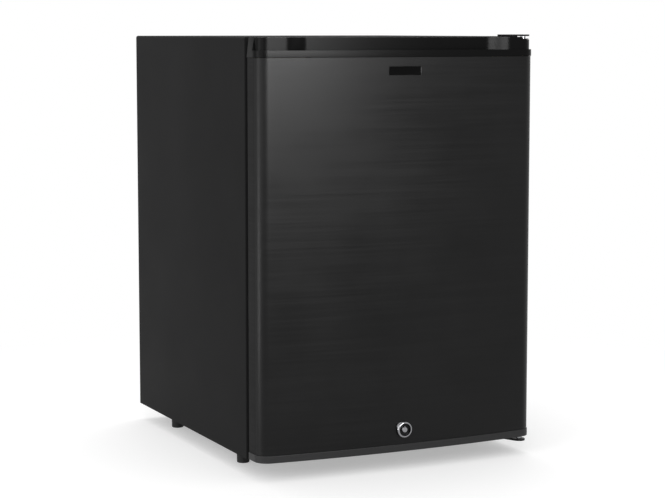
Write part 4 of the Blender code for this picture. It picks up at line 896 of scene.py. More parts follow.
refine(
    "unit_channel", "unit_bracket", galvanised_sheet, "cabinet", CHANNEL_EDGE
)
black_plastic = pebbled(
    "Black plastic", PLASTIC_BLACK, roughness=0.42, grain=1300.0, depth=0.18, drift=0.14,
    dust=0.04, Specular_IOR_Level=0.35,
)
terminal_low, terminal_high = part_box("terminal_box")
bm = bmesh.new()
lid_front = terminal_high.y - LID_DEPTH
add_block(bm, terminal_low, (terminal_high.x, lid_front - LID_GAP, terminal_high.z))
add_block(bm, (terminal_low.x, lid_front, terminal_low.z), terminal_high)
round_off(bm, bm.edges[:], BOX_EDGE)
add_block(
    bm,
    (terminal_low.x + LID_INSET, lid_front - LID_GAP * 3, terminal_low.z + LID_INSET),
    (terminal_high.x - LID_INSET, lid_front + LID_GAP * 2, terminal_high.z - LID_INSET),
)
for x in (terminal_low.x + SCREW_INSET, terminal_high.x - SCREW_INSET):
    for z in (terminal_low.z + SCREW_INSET, terminal_high.z - SCREW_INSET):
        add_turned(bm, LID_SCREW, at(x, terminal_high.y - SCREW_SINK, z, "y"), sides=20)
close_up(bm)
put_piece("terminal_case", bm, black_plastic, "cabinet", ["terminal_box"])

gland_low, gland_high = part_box("cable_gland")
gland_radius = (gland_high.x - gland_low.x) / 2
gland_bore = gland_radius - GLAND_WALL
gland_tall = gland_high.z - gland_low.z
profile = [(gland_bore, 0.0), (gland_radius - 0.0012, 0.0), (gland_radius - 0.0004, 0.001)]
for ridge in range(GLAND_RIDGES):
    foot = GLAND_FOOT + ridge * RIDGE_PITCH
    profile += [(gland_radius, foot), (gland_radius, foot + 0.0007)]
    profile += [(gland_radius - RIDGE_DEPTH, foot + up) for up in (0.0009, 0.0011)]
profile += [(gland_radius - GLAND_FLAT, z) for z in (GLAND_NECK, gland_tall)]
profile += [(gland_bore, gland_tall), (gland_bore, 0.0)]
bm = turned(profile, at(*centre("cable_gland")[:2], gland_low.z), sides=32)
put_piece("lead_gland", bm, black_plastic, "cabinet", ["cable_gland"])


# Each shelf is a bent steel rod frame with eleven finer wires spot welded across it, dipped in
# white plastic that softens every joint. It slides in the liner's ribs.

SHELF_ROD = 0.0025
SHELF_WIRE = 0.0015
SHELF_WIRE_SINK = 0.0008
SHELF_WIRE_COUNT = 11
SHELF_BEND = 0.010
SHELF_WIRE_IN = 0.008
SHELF_BLOB = (1.0, 1.3, 0.7, 1.0)
WHITE_DIP = (0.70, 0.70, 0.69, 1.0)

dipped_wire = pebbled(
    "Dipped wire", WHITE_DIP, roughness=0.36, grain=260.0, depth=0.10, drift=0.08
)


def make_shelf(node, body):
    """Build one wire shelf in the place of its node."""
    low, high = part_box(node)
    level = low.z + SHELF_ROD
    side = high.x - SHELF_ROD
    front, rear = low.y + SHELF_ROD, high.y - SHELF_ROD
    corners = [(0, front), (side, front), (side, rear), (-side, rear), (-side, front), (0, front)]
    route = bent([(x, y, level) for x, y in corners], SHELF_BEND)
    bm = bmesh.new()
    add_pipe(bm, route[1:], SHELF_ROD, sides=20, closed=True)
    height = level + SHELF_ROD + SHELF_WIRE - SHELF_WIRE_SINK
    spread = side - SHELF_WIRE_IN - SHELF_BEND / 2
    for count in range(SHELF_WIRE_COUNT):
        x = -spread + 2 * spread * count / (SHELF_WIRE_COUNT - 1)
        ends = (front - SHELF_ROD / 2, rear + SHELF_ROD / 2)
        add_pipe(bm, [(x, ends[0], height), (x, ends[1], height)], SHELF_WIRE, sides=12)
        for end in (front, rear):
            ball = at(x, end, level + SHELF_ROD * 0.8) @ Matrix.Diagonal(SHELF_BLOB)
            bmesh.ops.create_uvsphere(
                bm, u_segments=12, v_segments=8, radius=SHELF_WIRE * 1.25, matrix=ball
            )
    name = node.replace("shelf", "wire_shelf")
    put_piece(name, bm, dipped_wire, body, [node])


make_shelf("shelf_lower", "lower_shelf")
make_shelf("shelf_upper", "upper_shelf")


# The drip tray is vacuum formed in milky white plastic, with a flat flange down each side that
# runs in the top ribs, under the evaporator.

TRAY_WALL = 0.0015
TRAY_FLANGE = 0.002
TRAY_CORNER = 0.005
TRAY_PLAY = 0.0007
FLANGE_EDGE = 0.0004
TRAY_MILK = (0.66, 0.68, 0.69, 1.0)

tray_low, tray_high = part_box("drip_tray")
tray_side = room_high.x - RIB_DEPTH - TRAY_PLAY
tray_plastic = pebbled(
    "Tray plastic", TRAY_MILK, roughness=0.28, grain=420.0, depth=0.05, drift=0.06
)
bm = open_block(
    (-tray_side + TRAY_WALL, tray_low.y + TRAY_WALL, tray_low.z + TRAY_WALL),
    (tray_side - TRAY_WALL, tray_high.y - TRAY_WALL, tray_high.z),
    lambda normal: normal.z > 0.5,
    TRAY_CORNER,
)
bmesh.ops.reverse_faces(bm, faces=bm.faces)
tray = put_piece("tray_pan", bm, tray_plastic, "tray", ["drip_tray"])
thicken(tray, TRAY_WALL)
bm = bmesh.new()
for side in (-1, 1):
    left, right = sorted((side * (tray_side - TRAY_WALL / 2), side * tray_high.x))
    foot = tray_high.z - TRAY_FLANGE
    add_block(bm, (left, tray_low.y, foot), (right, tray_high.y, tray_high.z))
outer_edges = edges_where(bm, lambda co: abs(co.x) > tray_high.x - NEAR)
outer_ends = [e for e in outer_edges if abs(e.verts[0].co.z - e.verts[1].co.z) > NEAR]
round_off(bm, outer_ends, TRAY_CORNER, segments=5)
flanges = put_piece("tray_flanges", bm, tray_plastic, "tray", ["drip_tray"])
soften(flanges, FLANGE_EDGE, segments=2)


# The control housing is a white moulding clipped to the right wall. It covers the thermostat
# and the lamp's board, and seven ticks stand round the knob's edge.

HOUSING_EDGE = 0.0018
CASE_EDGE = 0.0006
TICK_COUNT = 7
TICK_SWEEP = 270
TICK_RADIUS = (0.0172, 0.0196)
TICK_HALF = 0.0004
TICK_PROUD = (0.0001, 0.0004)
TICK_GREY = (0.10, 0.10, 0.105, 1.0)
WHITE_MOULDED = (0.69, 0.70, 0.70, 1.0)

white_plastic = pebbled(
    "White plastic", WHITE_MOULDED, roughness=0.34, grain=900.0, depth=0.10, drift=0.06
)
refine(
    "control_housing", "control_cover", white_plastic, "cabinet", HOUSING_EDGE,
    segments=4,
)
refine(
    "thermostat", "thermostat_case", white_plastic, "cabinet", CASE_EDGE,
    segments=2,
)
cover_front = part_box("control_housing")[0].x
knob_low, knob_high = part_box("thermostat_knob")
knob_y, knob_z = centre("thermostat_knob")[1:]
tick_grey = pebbled("Tick grey", TICK_GREY, roughness=0.5, grain=900.0, depth=0.08)
bm = bmesh.new()
for count in range(TICK_COUNT):
    turn = math.radians(TICK_SWEEP * (count / (TICK_COUNT - 1) - 0.5))
    corners = add_block(
        bm,
        (cover_front - TICK_PROUD[0], -TICK_HALF, TICK_RADIUS[0]),
        (cover_front + TICK_PROUD[1], TICK_HALF, TICK_RADIUS[1]),
    )
    bmesh.ops.rotate(bm, verts=corners, cent=(0, 0, 0), matrix=Matrix.Rotation(turn, 3, "X"))
    bmesh.ops.translate(bm, verts=corners, vec=(0, knob_y, knob_z))
put_piece("control_ticks", bm, tick_grey, "cabinet", ["control_housing"])

# The knob is turned by hand to set the cold. It is moulded grey plastic with a fluted grip and
# a white pointer line, and it is pressed on the thermostat's spindle.

KNOB_FLUTES = 18
KNOB_FLUTE_DEPTH = 0.0007
KNOB_BORE = 0.0033
SKIRT_TALL = 0.0030
SKIRT_EDGE = ((0.0003, 0.0), (0.0, 0.0004), (0.0, 0.0022), (0.0006, 0.0029))
SKIRT_FLAT = 0.0120
GRIP_RADIUS = 0.0135
GRIP_SINK = 0.0002
GRIP_EDGE = 0.0008
FINE_EDGE = 0.0002
POINTER_HALF = 0.0006
POINTER_RUN = (0.0040, 0.0118)
POINTER_PROUD = 0.00005
KNOB_GREY = (0.16, 0.165, 0.17, 1.0)


def raise_faces(bm, faces, move):
    """Extrude faces by a move, and return the points that moved."""
    made = bmesh.ops.extrude_face_region(bm, geom=faces)["geom"]
    lifted = verts_in(made)
    bmesh.ops.translate(bm, verts=lifted, vec=move)
    bmesh.ops.recalc_face_normals(bm, faces=bm.faces)
    return lifted


knob_tall = knob_high.x - knob_low.x
knob_radius = (knob_high.y - knob_low.y) / 2
knob_plastic = pebbled(
    "Knob plastic", KNOB_GREY, roughness=0.38, grain=1200.0, depth=0.10, drift=0.08
)
knob_place = at(knob_high.x, knob_y, knob_z, "-x")
profile = [(KNOB_BORE, 0.0)] + [(knob_radius - inward, up) for inward, up in SKIRT_EDGE]
profile += [(SKIRT_FLAT, SKIRT_TALL), (KNOB_BORE, SKIRT_TALL), (KNOB_BORE, 0.0)]
bm = turned(profile, knob_place, sides=48)
grip = bmesh.ops.create_circle(
    bm,
    cap_ends=True,
    segments=KNOB_FLUTES * 6,
    radius=GRIP_RADIUS,
    matrix=knob_place @ Matrix.Translation((0, 0, SKIRT_TALL - GRIP_SINK)),
)["verts"]
back = knob_place.inverted()
for vert in grip:
    local = back @ vert.co
    turn = math.atan2(local.y, local.x)
    scale = 1 - KNOB_FLUTE_DEPTH / GRIP_RADIUS * (0.5 + 0.5 * math.cos(turn * KNOB_FLUTES))
    vert.co = knob_place @ Vector((local.x * scale, local.y * scale, local.z))
grip_face = [face for face in grip[0].link_faces if len(face.verts) == len(grip)]
rise = knob_place.to_3x3() @ Vector((0, 0, knob_tall - SKIRT_TALL + GRIP_SINK))
lifted = raise_faces(bm, grip_face, rise)
top_rim = [edge for edge in inner_edges(bm) if all(vert in lifted for vert in edge.verts)]
round_off(bm, top_rim, GRIP_EDGE, segments=3)
put_piece("knob_grip", bm, knob_plastic, "knob", ["thermostat_knob"], smooth=40.0)
bm = bmesh.new()
add_block(
    bm,
    (knob_low.x - POINTER_PROUD, knob_y - POINTER_HALF, knob_z + POINTER_RUN[0]),
    (knob_low.x + POINTER_HALF, knob_y + POINTER_HALF, knob_z + POINTER_RUN[1]),
)
pointer = put_piece("knob_pointer", bm, white_plastic, "knob", ["thermostat_knob"])
soften(pointer, FINE_EDGE, segments=2)

# The lamp is one emitter on a small green board behind a clear ribbed lens. A reed switch in
# the cabinet's flange and a magnet in the door put it on.

LENS_RIBS = 12
LENS_RIB_DEPTH = 0.0006
LENS_RIB_STEPS = 8
REED_EDGE = 0.0005
BOARD_GREEN = (0.02, 0.12, 0.05, 1.0)


def grey_of(tree, level):
    """A grey of a given level."""
    return add_node(tree, "ShaderNodeCombineColor", {0: level, 1: level, 2: level}).outputs[0]


def make_haze_effect():
    """A faint haze and a faint tint that wander over a clear moulding together."""
    tree, given = start_effect("Wandering haze", [
        ("Scale", "Float", 50.0),
        ("Least haze", "Float", 0.05),
        ("Most haze", "Float", 0.15),
        ("Darkest", "Float", 0.9),
        ("Clearest", "Float", 1.0),
    ])
    wander = noise(tree, place_on(tree), scale=given["Scale"])
    return end_effect(
        tree,
        Color=grey_of(tree, ranged(tree, wander, low=given["Darkest"], high=given["Clearest"])),
        Roughness=ranged(tree, wander, low=given["Least haze"], high=given["Most haze"]),
    )


haze_effect = make_haze_effect()


def clear_plastic(name, scale, haze, tint):
    """A clear moulding, with the ends of its haze and of its tint."""
    values = {"Scale": scale, "Least haze": haze[0], "Most haze": haze[1]}
    values.update({"Darkest": tint[0], "Clearest": tint[1]})
    constants = {"Transmission_Weight": 1.0, "IOR": 1.49, "Metallic": 0.0}
    return make_finish(name, haze_effect, values, **constants)


clear_lens = clear_plastic("Clear lens", scale=60.0, haze=(0.05, 0.16), tint=(0.90, 0.97))
lens_low, lens_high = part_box("lamp_lens")
rib_pitch = (lens_high.y - lens_low.y) / LENS_RIBS
outline = []
for count in range(LENS_RIBS * LENS_RIB_STEPS + 1):
    along = count / LENS_RIB_STEPS
    dip = LENS_RIB_DEPTH * (0.5 - 0.5 * math.cos(math.tau * along))
    outline.append((lens_low.x + dip, lens_low.y + along * rib_pitch, lens_low.z))
outline += [(lens_high.x, lens_high.y, lens_low.z), (lens_high.x, lens_low.y, lens_low.z)]
bm = bmesh.new()
face = bm.faces.new([bm.verts.new(place) for place in outline])
raise_faces(bm, [face], (0, 0, lens_high.z - lens_low.z))
put_piece("ribbed_lens", bm, clear_lens, "cabinet", ["lamp_lens"])
board_green = pebbled("Board green", BOARD_GREEN, roughness=0.35, grain=500.0, depth=0.15)
refine(
    "lamp_board", "lamp_circuit", board_green, "cabinet", FINE_EDGE, segments=2
)
refine(
    "reed_switch", "reed_case", black_plastic, "cabinet", REED_EDGE, segments=2
)
refine("reed_magnet", "reed_block", enamel, "door", REED_EDGE, segments=2)


# Four slim feet of hard black rubber. The front pair sit on threaded zinc studs that level the
# cabinet, with a finger grip of shallow ribs, and the rear pair are pressed in with pegs.

FOOT_CHAMFER = 0.0008
FOOT_RIBS = 20
FOOT_RIB_DEPTH = 0.00035
FOOT_TAPER = 0.0006
FOOT_TALL = 0.0232
FOOT_PLAIN = (0.0030, 0.0042)
FOOT_COLLAR = (0.0038, 0.0050)
FOOT_SOCKET = (0.0043, 0.0097)
PEG_RADIUS = 0.0030
STUD_END = 0.001
STUD_EASE = 0.0008
THREAD_PITCH = 0.00125
THREAD_DEPTH = 0.0006
RUBBER_BLACK = (0.016, 0.016, 0.016, 1.0)

foot_rubber = pebbled(
    "Foot rubber", RUBBER_BLACK, roughness=0.62, grain=700.0, depth=0.25, drift=0.2, dust=0.08,
    Specular_IOR_Level=0.3,
)


def make_foot(node, name, body, hollow):
    """Build one foot: tapered, chamfered, ribbed round its side, with a socket or a peg."""
    low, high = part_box(node)
    x, y = centre(node)[:2]
    radius = (high.x - low.x) / 2
    inner, depth = FOOT_SOCKET if hollow else (PEG_RADIUS, high.z)
    rings = [
        (FOOT_CHAMFER, radius - FOOT_TAPER, 0.0),
        (FOOT_PLAIN[0], radius - FOOT_TAPER * 0.9, 0.0),
        (FOOT_PLAIN[1], radius - FOOT_TAPER * 0.8, FOOT_RIB_DEPTH),
        (FOOT_TALL - FOOT_COLLAR[1], radius - FOOT_TAPER * 0.25, FOOT_RIB_DEPTH),
        (FOOT_TALL - FOOT_COLLAR[0], radius - FOOT_TAPER * 0.2, 0.0),
        (FOOT_TALL - FOOT_CHAMFER, radius, 0.0),
        (FOOT_TALL, radius - FOOT_CHAMFER, 0.0),
        (FOOT_TALL, inner, 0.0),
        (depth, inner, 0.0),
    ]
    bm = bmesh.new()
    bmesh.ops.create_circle(
        bm,
        cap_ends=True,
        segments=FOOT_RIBS * 4,
        radius=radius - FOOT_TAPER - FOOT_CHAMFER,
        matrix=Matrix.Translation((x, y, 0)),
    )
    edges = bm.edges[:]
    for height, out, cut in rings:
        made = bmesh.ops.extrude_edge_only(bm, edges=edges)["geom"]
        edges = edges_in(made)
        for vert in verts_in(made):
            turn = math.atan2(vert.co.y - y, vert.co.x - x)
            reach = out - cut * (0.5 + 0.5 * math.cos(turn * FOOT_RIBS))
            vert.co = (x + reach * math.cos(turn), y + reach * math.sin(turn), height)
    bmesh.ops.holes_fill(bm, edges=edges, sides=0)
    bmesh.ops.recalc_face_normals(bm, faces=bm.faces)
    put_piece(name, bm, foot_rubber, body, [node])


zinc_plate = galvanised("Zinc plate", size=400.0, roughness=0.26)


def rod(radius, low, high, ease):
    """The half outline of a round rod with eased ends."""
    lower = [(0.0, low), (radius - ease, low), (radius, low + ease)]
    return lower + [(radius, high - ease), (radius - ease, high), (0.0, high)]


def join(bm, other):
    """Take another shape's mesh in, and free it."""
    mesh = bpy.data.meshes.new("joined")
    other.to_mesh(mesh)
    other.free()
    bm.from_mesh(mesh)
    bpy.data.meshes.remove(mesh)


def make_stud(node, name, body):
    """Build one threaded stud from a thread outline wound up its length."""
    low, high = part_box(node)
    x, y = centre(node)[:2]
    radius = (high.x - low.x) / 2
    root = radius - THREAD_DEPTH
    turns = int((high.z - low.z - STUD_END * 2) / THREAD_PITCH) - 1
    bm = bmesh.new()
    shape = [(root, 0.0), (radius, 0.4), (radius, 0.6), (root, 1.0)]
    foot = low.z + STUD_END
    run = [bm.verts.new((x + out, y, foot + part * THREAD_PITCH)) for out, part in shape]
    edges = [bm.edges.new(pair) for pair in zip(run, run[1:])]
    steps = 16
    bmesh.ops.spin(
        bm,
        geom=run + edges,
        cent=(x, y, 0),
        axis=(0, 0, 1),
        dvec=(0, 0, THREAD_PITCH / steps),
        angle=math.tau * turns,
        steps=steps * turns,
    )
    close_up(bm)
    bmesh.ops.holes_fill(bm, edges=[edge for edge in bm.edges if edge.is_boundary], sides=0)
    bmesh.ops.recalc_face_normals(bm, faces=bm.faces)
    join(bm, turned(rod(root, low.z, high.z, STUD_EASE), at(x, y, 0), sides=32))
    put_piece(name, bm, zinc_plate, body, [node])


for side in ("left", "right"):
    make_foot(f"foot_pad_front_{side}", f"front_foot_{side}", f"{side}_pad", True)
    make_stud(f"foot_stud_front_{side}", f"levelling_stud_{side}", f"{side}_stud")
    make_foot(f"foot_rear_{side}", f"rear_foot_{side}", "cabinet", False)


# Two angle plates of pressed steel, enamelled black, carry the door on chromed pins. Each is
# held to the casing's front by two zinc screws with countersunk cross-recess heads.

PLATE_EDGE = 0.00045
PIN_EASE = 0.0008
CROSS_REACH = 0.0021
CROSS_WAIST = 0.0007
CROSS_DEPTH = 0.0012
CROSS_START = 0.35
CROSS_TAPER = 0.55
SCREW_PITCH = 0.0009
SCREW_TOOTH = 0.0003
SCREW_TIP = 0.001
SUNK_HEAD = 0.004
SUNK_SHANK = 0.0020
SUNK_CONE = [(SUNK_HEAD, 0.0), (SUNK_HEAD, -0.0003), (SUNK_SHANK, -0.0021)]
SUNK_RUN = (-0.0024, -0.012)
HINGE_BLACK = (0.0050, 0.0050, 0.0052, 1.0)
CHROME_DARK = (0.26, 0.26, 0.27, 1.0)

hinge_enamel = pebbled(
    "Hinge enamel", HINGE_BLACK, roughness=0.42, grain=900.0, depth=0.25, drift=0.15, dust=0.02,
    Specular_IOR_Level=0.15,
)
chrome = grained(
    "Dark chrome", CHROME_DARK, roughness=0.14, stretch=(90.0, 90.0, 90.0), contrast=0.16,
    depth=0.02, Metallic=1.0,
)


def sunk_cross(bm, place, rim, height):
    """Close a screw's head at a height with a flat face and a cross-shaped recess in it."""
    head = bmesh.ops.create_circle(
        bm,
        cap_ends=True,
        segments=24,
        radius=rim,
        matrix=place @ Matrix.Translation((0, 0, height)),
    )["verts"]
    face = [item for item in head[0].link_faces if len(item.verts) == len(head)]
    bmesh.ops.inset_region(
        bm, faces=face, thickness=rim * 0.3, use_boundary=True, use_even_offset=True
    )
    back = place.inverted()
    for vert in face[0].verts:
        local = back @ vert.co
        turn = math.atan2(local.y, local.x)
        fold = abs((turn % (math.pi / 2)) - math.pi / 4) / (math.pi / 4)
        arm = max(0.0, (fold - CROSS_START) / (1 - CROSS_START))
        reach = CROSS_WAIST + (CROSS_REACH - CROSS_WAIST) * arm
        vert.co = place @ Vector((reach * math.cos(turn), reach * math.sin(turn), height))
    sunk = verts_in(bmesh.ops.extrude_face_region(bm, geom=face)["geom"])
    bmesh.ops.delete(bm, geom=face, context="FACES_ONLY")
    middle = place @ Vector((0, 0, height))
    for vert in sunk:
        vert.co = middle + (vert.co - middle) * CROSS_TAPER
    down = place.to_3x3() @ Vector((0, 0, -CROSS_DEPTH))
    bmesh.ops.translate(bm, verts=sunk, vec=down)


def make_screw(node, name, body, place, profile):
    """Build a screw from its half outline, with a cross recess in its head."""
    bm = bmesh.new()
    add_turned(bm, profile, place, sides=24)
    sunk_cross(bm, place, *profile[0])
    close_up(bm)
    put_piece(name, bm, zinc_plate, body, [node])


def thread_runs(top, end, radius):
    """The saw-tooth half outline of a short thread from top down to its end."""
    points = []
    height = top
    while height - SCREW_PITCH > end + SCREW_TIP:
        points += [(radius, height), (radius - SCREW_TOOTH, height - SCREW_PITCH / 2)]
        height -= SCREW_PITCH
    return points + [(radius - SCREW_TOOTH, end + SCREW_TIP), (0.0, end)]


def front_of(node):
    """The middle of the front of a node's box, facing out of the door."""
    x, y, z = centre(node)
    return at(x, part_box(node)[0].y, z, "-y")


for where in ("top", "bottom"):
    leaf, pin = f"hinge_plate_{where}", f"hinge_pin_{where}"
    refine(leaf, f"hinge_leaf_{where}", hinge_enamel, "cabinet", PLATE_EDGE)
    pin_low, pin_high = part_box(pin)
    outline = rod((pin_high.x - pin_low.x) / 2, 0.0, pin_high.z - pin_low.z, PIN_EASE)
    bm = turned(outline, at(*centre(pin)[:2], pin_low.z), sides=32)
    put_piece(f"hinge_pivot_{where}", bm, chrome, "cabinet", [pin])
    for spot in ("inner", "outer"):
        node = f"hinge_screw_{where}_{spot}"
        outline = SUNK_CONE + thread_runs(*SUNK_RUN, SUNK_SHANK)
        make_screw(node, f"plate_screw_{where}_{spot}", "cabinet", front_of(node), outline)


# The keeper is a bent strip of zinc-plated steel below the opening, and the lock's cam turns
# down behind its lip. One pan-head screw holds it to the fold of the base panel.

KEEPER_EDGE = 0.00035
PAN_RADII = (0.0032, 0.0038, 0.0040)
PAN_SHANK = 0.0015
PAN_UNDERCUT = 0.0002


def pan_screw(face, edge, tall, end):
    """The half outline of a pan-head screw, with how far down its head's bends and its end are."""
    profile = list(zip(PAN_RADII, (0.0, -face, -edge)))
    profile += [(PAN_RADII[2], -tall), (PAN_SHANK, -tall)]
    return profile + thread_runs(-tall - PAN_UNDERCUT, -end, PAN_SHANK)


refine("lock_keeper", "keeper_strip", zinc_plate, "cabinet", KEEPER_EDGE)
keeper_outline = pan_screw(face=0.0003, edge=0.0008, tall=0.0013, end=0.0073)
keeper_place = front_of("keeper_screw")
make_screw("keeper_screw", "keeper_fixing", "cabinet", keeper_place, keeper_outline)


# The door's front is one steel sheet laminated with a dark brushed film, bowed a little and
# rolled round both sides. Its grain runs level, and two caps close it above and below.

DOOR_HALF = 0.201
DOOR_REAR = -0.18275
BOW_RADIUS = 1.842
BOW_CENTRE_Y = 1.61425
CORNER_RADIUS = 0.018
CORNER_X = 0.183
CORNER_Y = -0.20055
CORNER_STEPS = 12
BOW_STEPS = 72
SKIN_SHEET = 0.001
BOW_ANGLE = math.atan2(CORNER_X, BOW_CENTRE_Y - CORNER_Y)
FILM_DARK = (0.0034, 0.0034, 0.0035, 1.0)
RETURN_X = (0.2002, 0.2009)


def spin_on(bm, tip, hub, angle, steps):
    """Carry a chain of edges on round a hub, and return its new tip."""
    bmesh.ops.spin(
        bm,
        geom=[tip],
        cent=(*hub, tip.co.z),
        axis=(0, 0, 1),
        angle=angle,
        steps=steps,
    )
    bm.verts.ensure_lookup_table()
    return bm.verts[-1]


def run_on(bm, tip, place):
    """Carry a chain of edges straight on to a place, and return its new tip."""
    made = bmesh.ops.extrude_vert_indiv(bm, verts=[tip])["verts"][0]
    made.co = place
    return made


def door_line(bm, inset, height):
    """Lay the door's outline in plan as a chain of edges from its left rear to its right rear."""
    side = DOOR_HALF - inset
    first = bm.verts.new((-side, DOOR_REAR, height))
    tip = run_on(bm, first, (-side, CORNER_Y, height))
    tip = spin_on(bm, tip, (-CORNER_X, CORNER_Y), math.pi / 2 - BOW_ANGLE, CORNER_STEPS)
    tip = spin_on(bm, tip, (0.0, BOW_CENTRE_Y), BOW_ANGLE * 2, BOW_STEPS)
    tip = spin_on(bm, tip, (CORNER_X, CORNER_Y), math.pi / 2 - BOW_ANGLE, CORNER_STEPS)
    return first, run_on(bm, tip, (side, DOOR_REAR, height))


def make_film():
    """Brushed film, dull on the two returns where rolling the sheet has stretched it."""
    material, shader = start_finish("Brushed film", Specular_IOR_Level=0.15)
    tree = material.node_tree
    values = {"Color": FILM_DARK, "Roughness": 0.37, "Stretch": (6.0, 6.0, 300.0)}
    values.update({"Contrast": 0.40, "Depth": 0.05})
    grain = place_effect(tree, shader, grain_effect, values)
    across = add_node(tree, "ShaderNodeSeparateXYZ", {"Vector": place_on(tree)}).outputs["X"]
    out = math_node(tree, "ABSOLUTE", across, 0.0)
    dull = ranged(tree, out, 0.0, 0.38, *RETURN_X)
    rough = math_node(tree, "ADD", grain.outputs["Roughness"], dull)
    tree.links.new(rough, shader.inputs["Roughness"])
    return material


brushed_film = make_film()
skin_low, skin_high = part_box("door_skin")
bm = bmesh.new()
door_line(bm, 0.0, skin_low.z)
made = bmesh.ops.extrude_edge_only(bm, edges=bm.edges[:])["geom"]
bmesh.ops.translate(bm, verts=verts_in(made), vec=(0, 0, skin_high.z - skin_low.z))
bmesh.ops.recalc_face_normals(bm, faces=bm.faces)
if sum(face.normal.y * face.calc_area() for face in bm.faces) > 0:
    bmesh.ops.reverse_faces(bm, faces=bm.faces)
skin = put_piece("front_sheet", bm, brushed_film, "door", ["door_skin"])
thicken(skin, SKIN_SHEET)


# The top cap is moulded black plastic. A lip stands level with the sheet, a narrower band is
# set back above it, and the band is scooped out in the middle as a finger grip with a pocket.

CAP_PROUD = 0.0008
BAND_INSET = 0.002
LIP_WALL = 0.0035
GRIP_HALF = 0.130
GRIP_EASE = 0.034
GRIP_DEPTH = 0.0135
CAP_LOW = 0.5407
LIP_TOP = 0.5494
CAP_TOP = 0.5659
POCKET_FLOOR = 0.5354
POCKET_WALL = 0.002
NOTCH_X = 0.178
NOTCH_Z = 0.5624
CAP_EDGE = 0.0009
CAP_BLACK = (0.0018, 0.0018, 0.0018, 1.0)
LIP_LEAN = 0.0003
LIP_ROLL = 0.0022
BAND_LEAST = 0.001
SLIT = 0.0002
CAP_ROUND = (0.001, 0.0002)
FLAT_PAST = 0.005
NOTCH_HALF = 0.0001

satin_cap = pebbled(
    "Satin cap", CAP_BLACK, roughness=0.30, grain=1400.0, depth=0.05, drift=0.10, dust=0.01,
    Specular_IOR_Level=0.065,
)


def front_y(x, inset):
    """How far forward the door reaches at a place across it, moved in by an inset."""
    if abs(x) <= (BOW_RADIUS - inset) * math.sin(BOW_ANGLE):
        return BOW_CENTRE_Y - math.sqrt((BOW_RADIUS - inset) ** 2 - x * x)
    past = min(abs(x) - CORNER_X, CORNER_RADIUS - inset)
    return CORNER_Y - math.sqrt(max((CORNER_RADIUS - inset) ** 2 - past * past, 0.0))


def scoop(x):
    """How deep the finger grip is at a place across the door."""
    past = min(max((abs(x) - GRIP_HALF) / GRIP_EASE, 0.0), 1.0)
    return GRIP_DEPTH * (1 + math.cos(math.pi * past)) / 2


def stations():
    """Places across the door where the cap's outline is drawn, close together at its bends."""
    turns = [math.pi / 2 * count / 14 for count in range(15)]
    reach = DOOR_HALF + CAP_PROUD
    start, run = CORNER_X + CAP_ROUND[0], CORNER_RADIUS - CAP_ROUND[1]
    corner = [start + run * math.sin(turn) for turn in turns]
    corner = [min(x, reach) for x in corner]
    ease = [GRIP_HALF + GRIP_EASE * count / 16 for count in range(17)]
    middle = [GRIP_HALF * count / 20 for count in range(21)]
    flat = [GRIP_HALF + GRIP_EASE + FLAT_PAST, NOTCH_X - NOTCH_HALF, NOTCH_X + NOTCH_HALF]
    right = sorted({round(x, 6) for x in middle + ease + flat + corner})
    return [-x for x in reversed(right) if x > 0] + right


def sweep(bm, sections):
    """Draw a closed outline, extrude it from section to section, and cap both ends."""
    loop = [bm.verts.new(place) for place in sections[0]]
    edges = [bm.edges.new(pair) for pair in zip(loop, loop[1:] + loop[:1])]
    bm.faces.new(loop)
    for section in sections[1:]:
        made = bmesh.ops.extrude_edge_only(bm, edges=edges)["geom"]
        edges = edges_in(made)
        verts = verts_in(made)
        order = []
        for vert in loop:
            twin = [e.other_vert(vert) for e in vert.link_edges if e.other_vert(vert) in verts]
            order.append(twin[0])
        for vert, place in zip(order, section):
            vert.co = place
        loop = order
    bm.faces.new(list(reversed(loop)))
    bmesh.ops.remove_doubles(bm, verts=bm.verts, dist=MERGE / 5)
    bmesh.ops.recalc_face_normals(bm, faces=bm.faces)


def cap_section(x):
    """The top cap cut across at one place: lip, pocket, and band with its scoop."""
    reach = DOOR_HALF + CAP_PROUD
    x = max(-reach, min(reach, x))
    lip = front_y(x, -CAP_PROUD)
    band = min(front_y(x, BAND_INSET) + scoop(x), DOOR_REAR - BAND_LEAST)
    top = NOTCH_Z if x > NOTCH_X else CAP_TOP
    in_pocket = abs(x) <= GRIP_HALF
    near = front_y(x, LIP_WALL) if in_pocket else (lip + band) / 2
    far = band if in_pocket else (lip + band) / 2 + SLIT
    floor = POCKET_FLOOR if in_pocket else LIP_TOP
    under = POCKET_FLOOR - POCKET_WALL if in_pocket else CAP_LOW
    side = math.copysign(min(abs(x), DOOR_HALF - BAND_INSET), x)
    return [
        (x, DOOR_REAR, under),
        (x, lip + POCKET_WALL, under),
        (x, lip + POCKET_WALL, CAP_LOW),
        (x, lip, CAP_LOW),
        (x, lip, LIP_TOP - LIP_ROLL),
        (x, lip + LIP_LEAN, LIP_TOP),
        (x, near, LIP_TOP),
        (x, near, floor),
        (x, far, floor),
        (side, band, LIP_TOP),
        (side, band, top),
        (side, DOOR_REAR, top),
    ]


places = []
for x in stations():
    if abs(abs(x) - GRIP_HALF) < MERGE:
        step = math.copysign(MERGE, x)
        places += sorted((x - step, x + step * 2))
    else:
        places.append(x)
bm = bmesh.new()
sweep(bm, [cap_section(x) for x in places])
cap_top = put_piece("top_cap", bm, satin_cap, "door", ["door_top_cap"], smooth=None)
soften(cap_top, CAP_EDGE, segments=4, angle=35.0)


# The bottom cap is a plain strip of the same black plastic as the top cap, a little proud of the
# sheet, with a duller finish. Its colour is set greyer as painted light from the floor below.
# It holds the lower hinge's bush and takes the knocks from below.

BOTTOM_EDGE = 0.0008
# A lighter grey than the top cap's black: painted light from the floor below, on the same plastic.
CAP_FLOOR_LIT_GREY = (0.029, 0.029, 0.0295, 1.0)

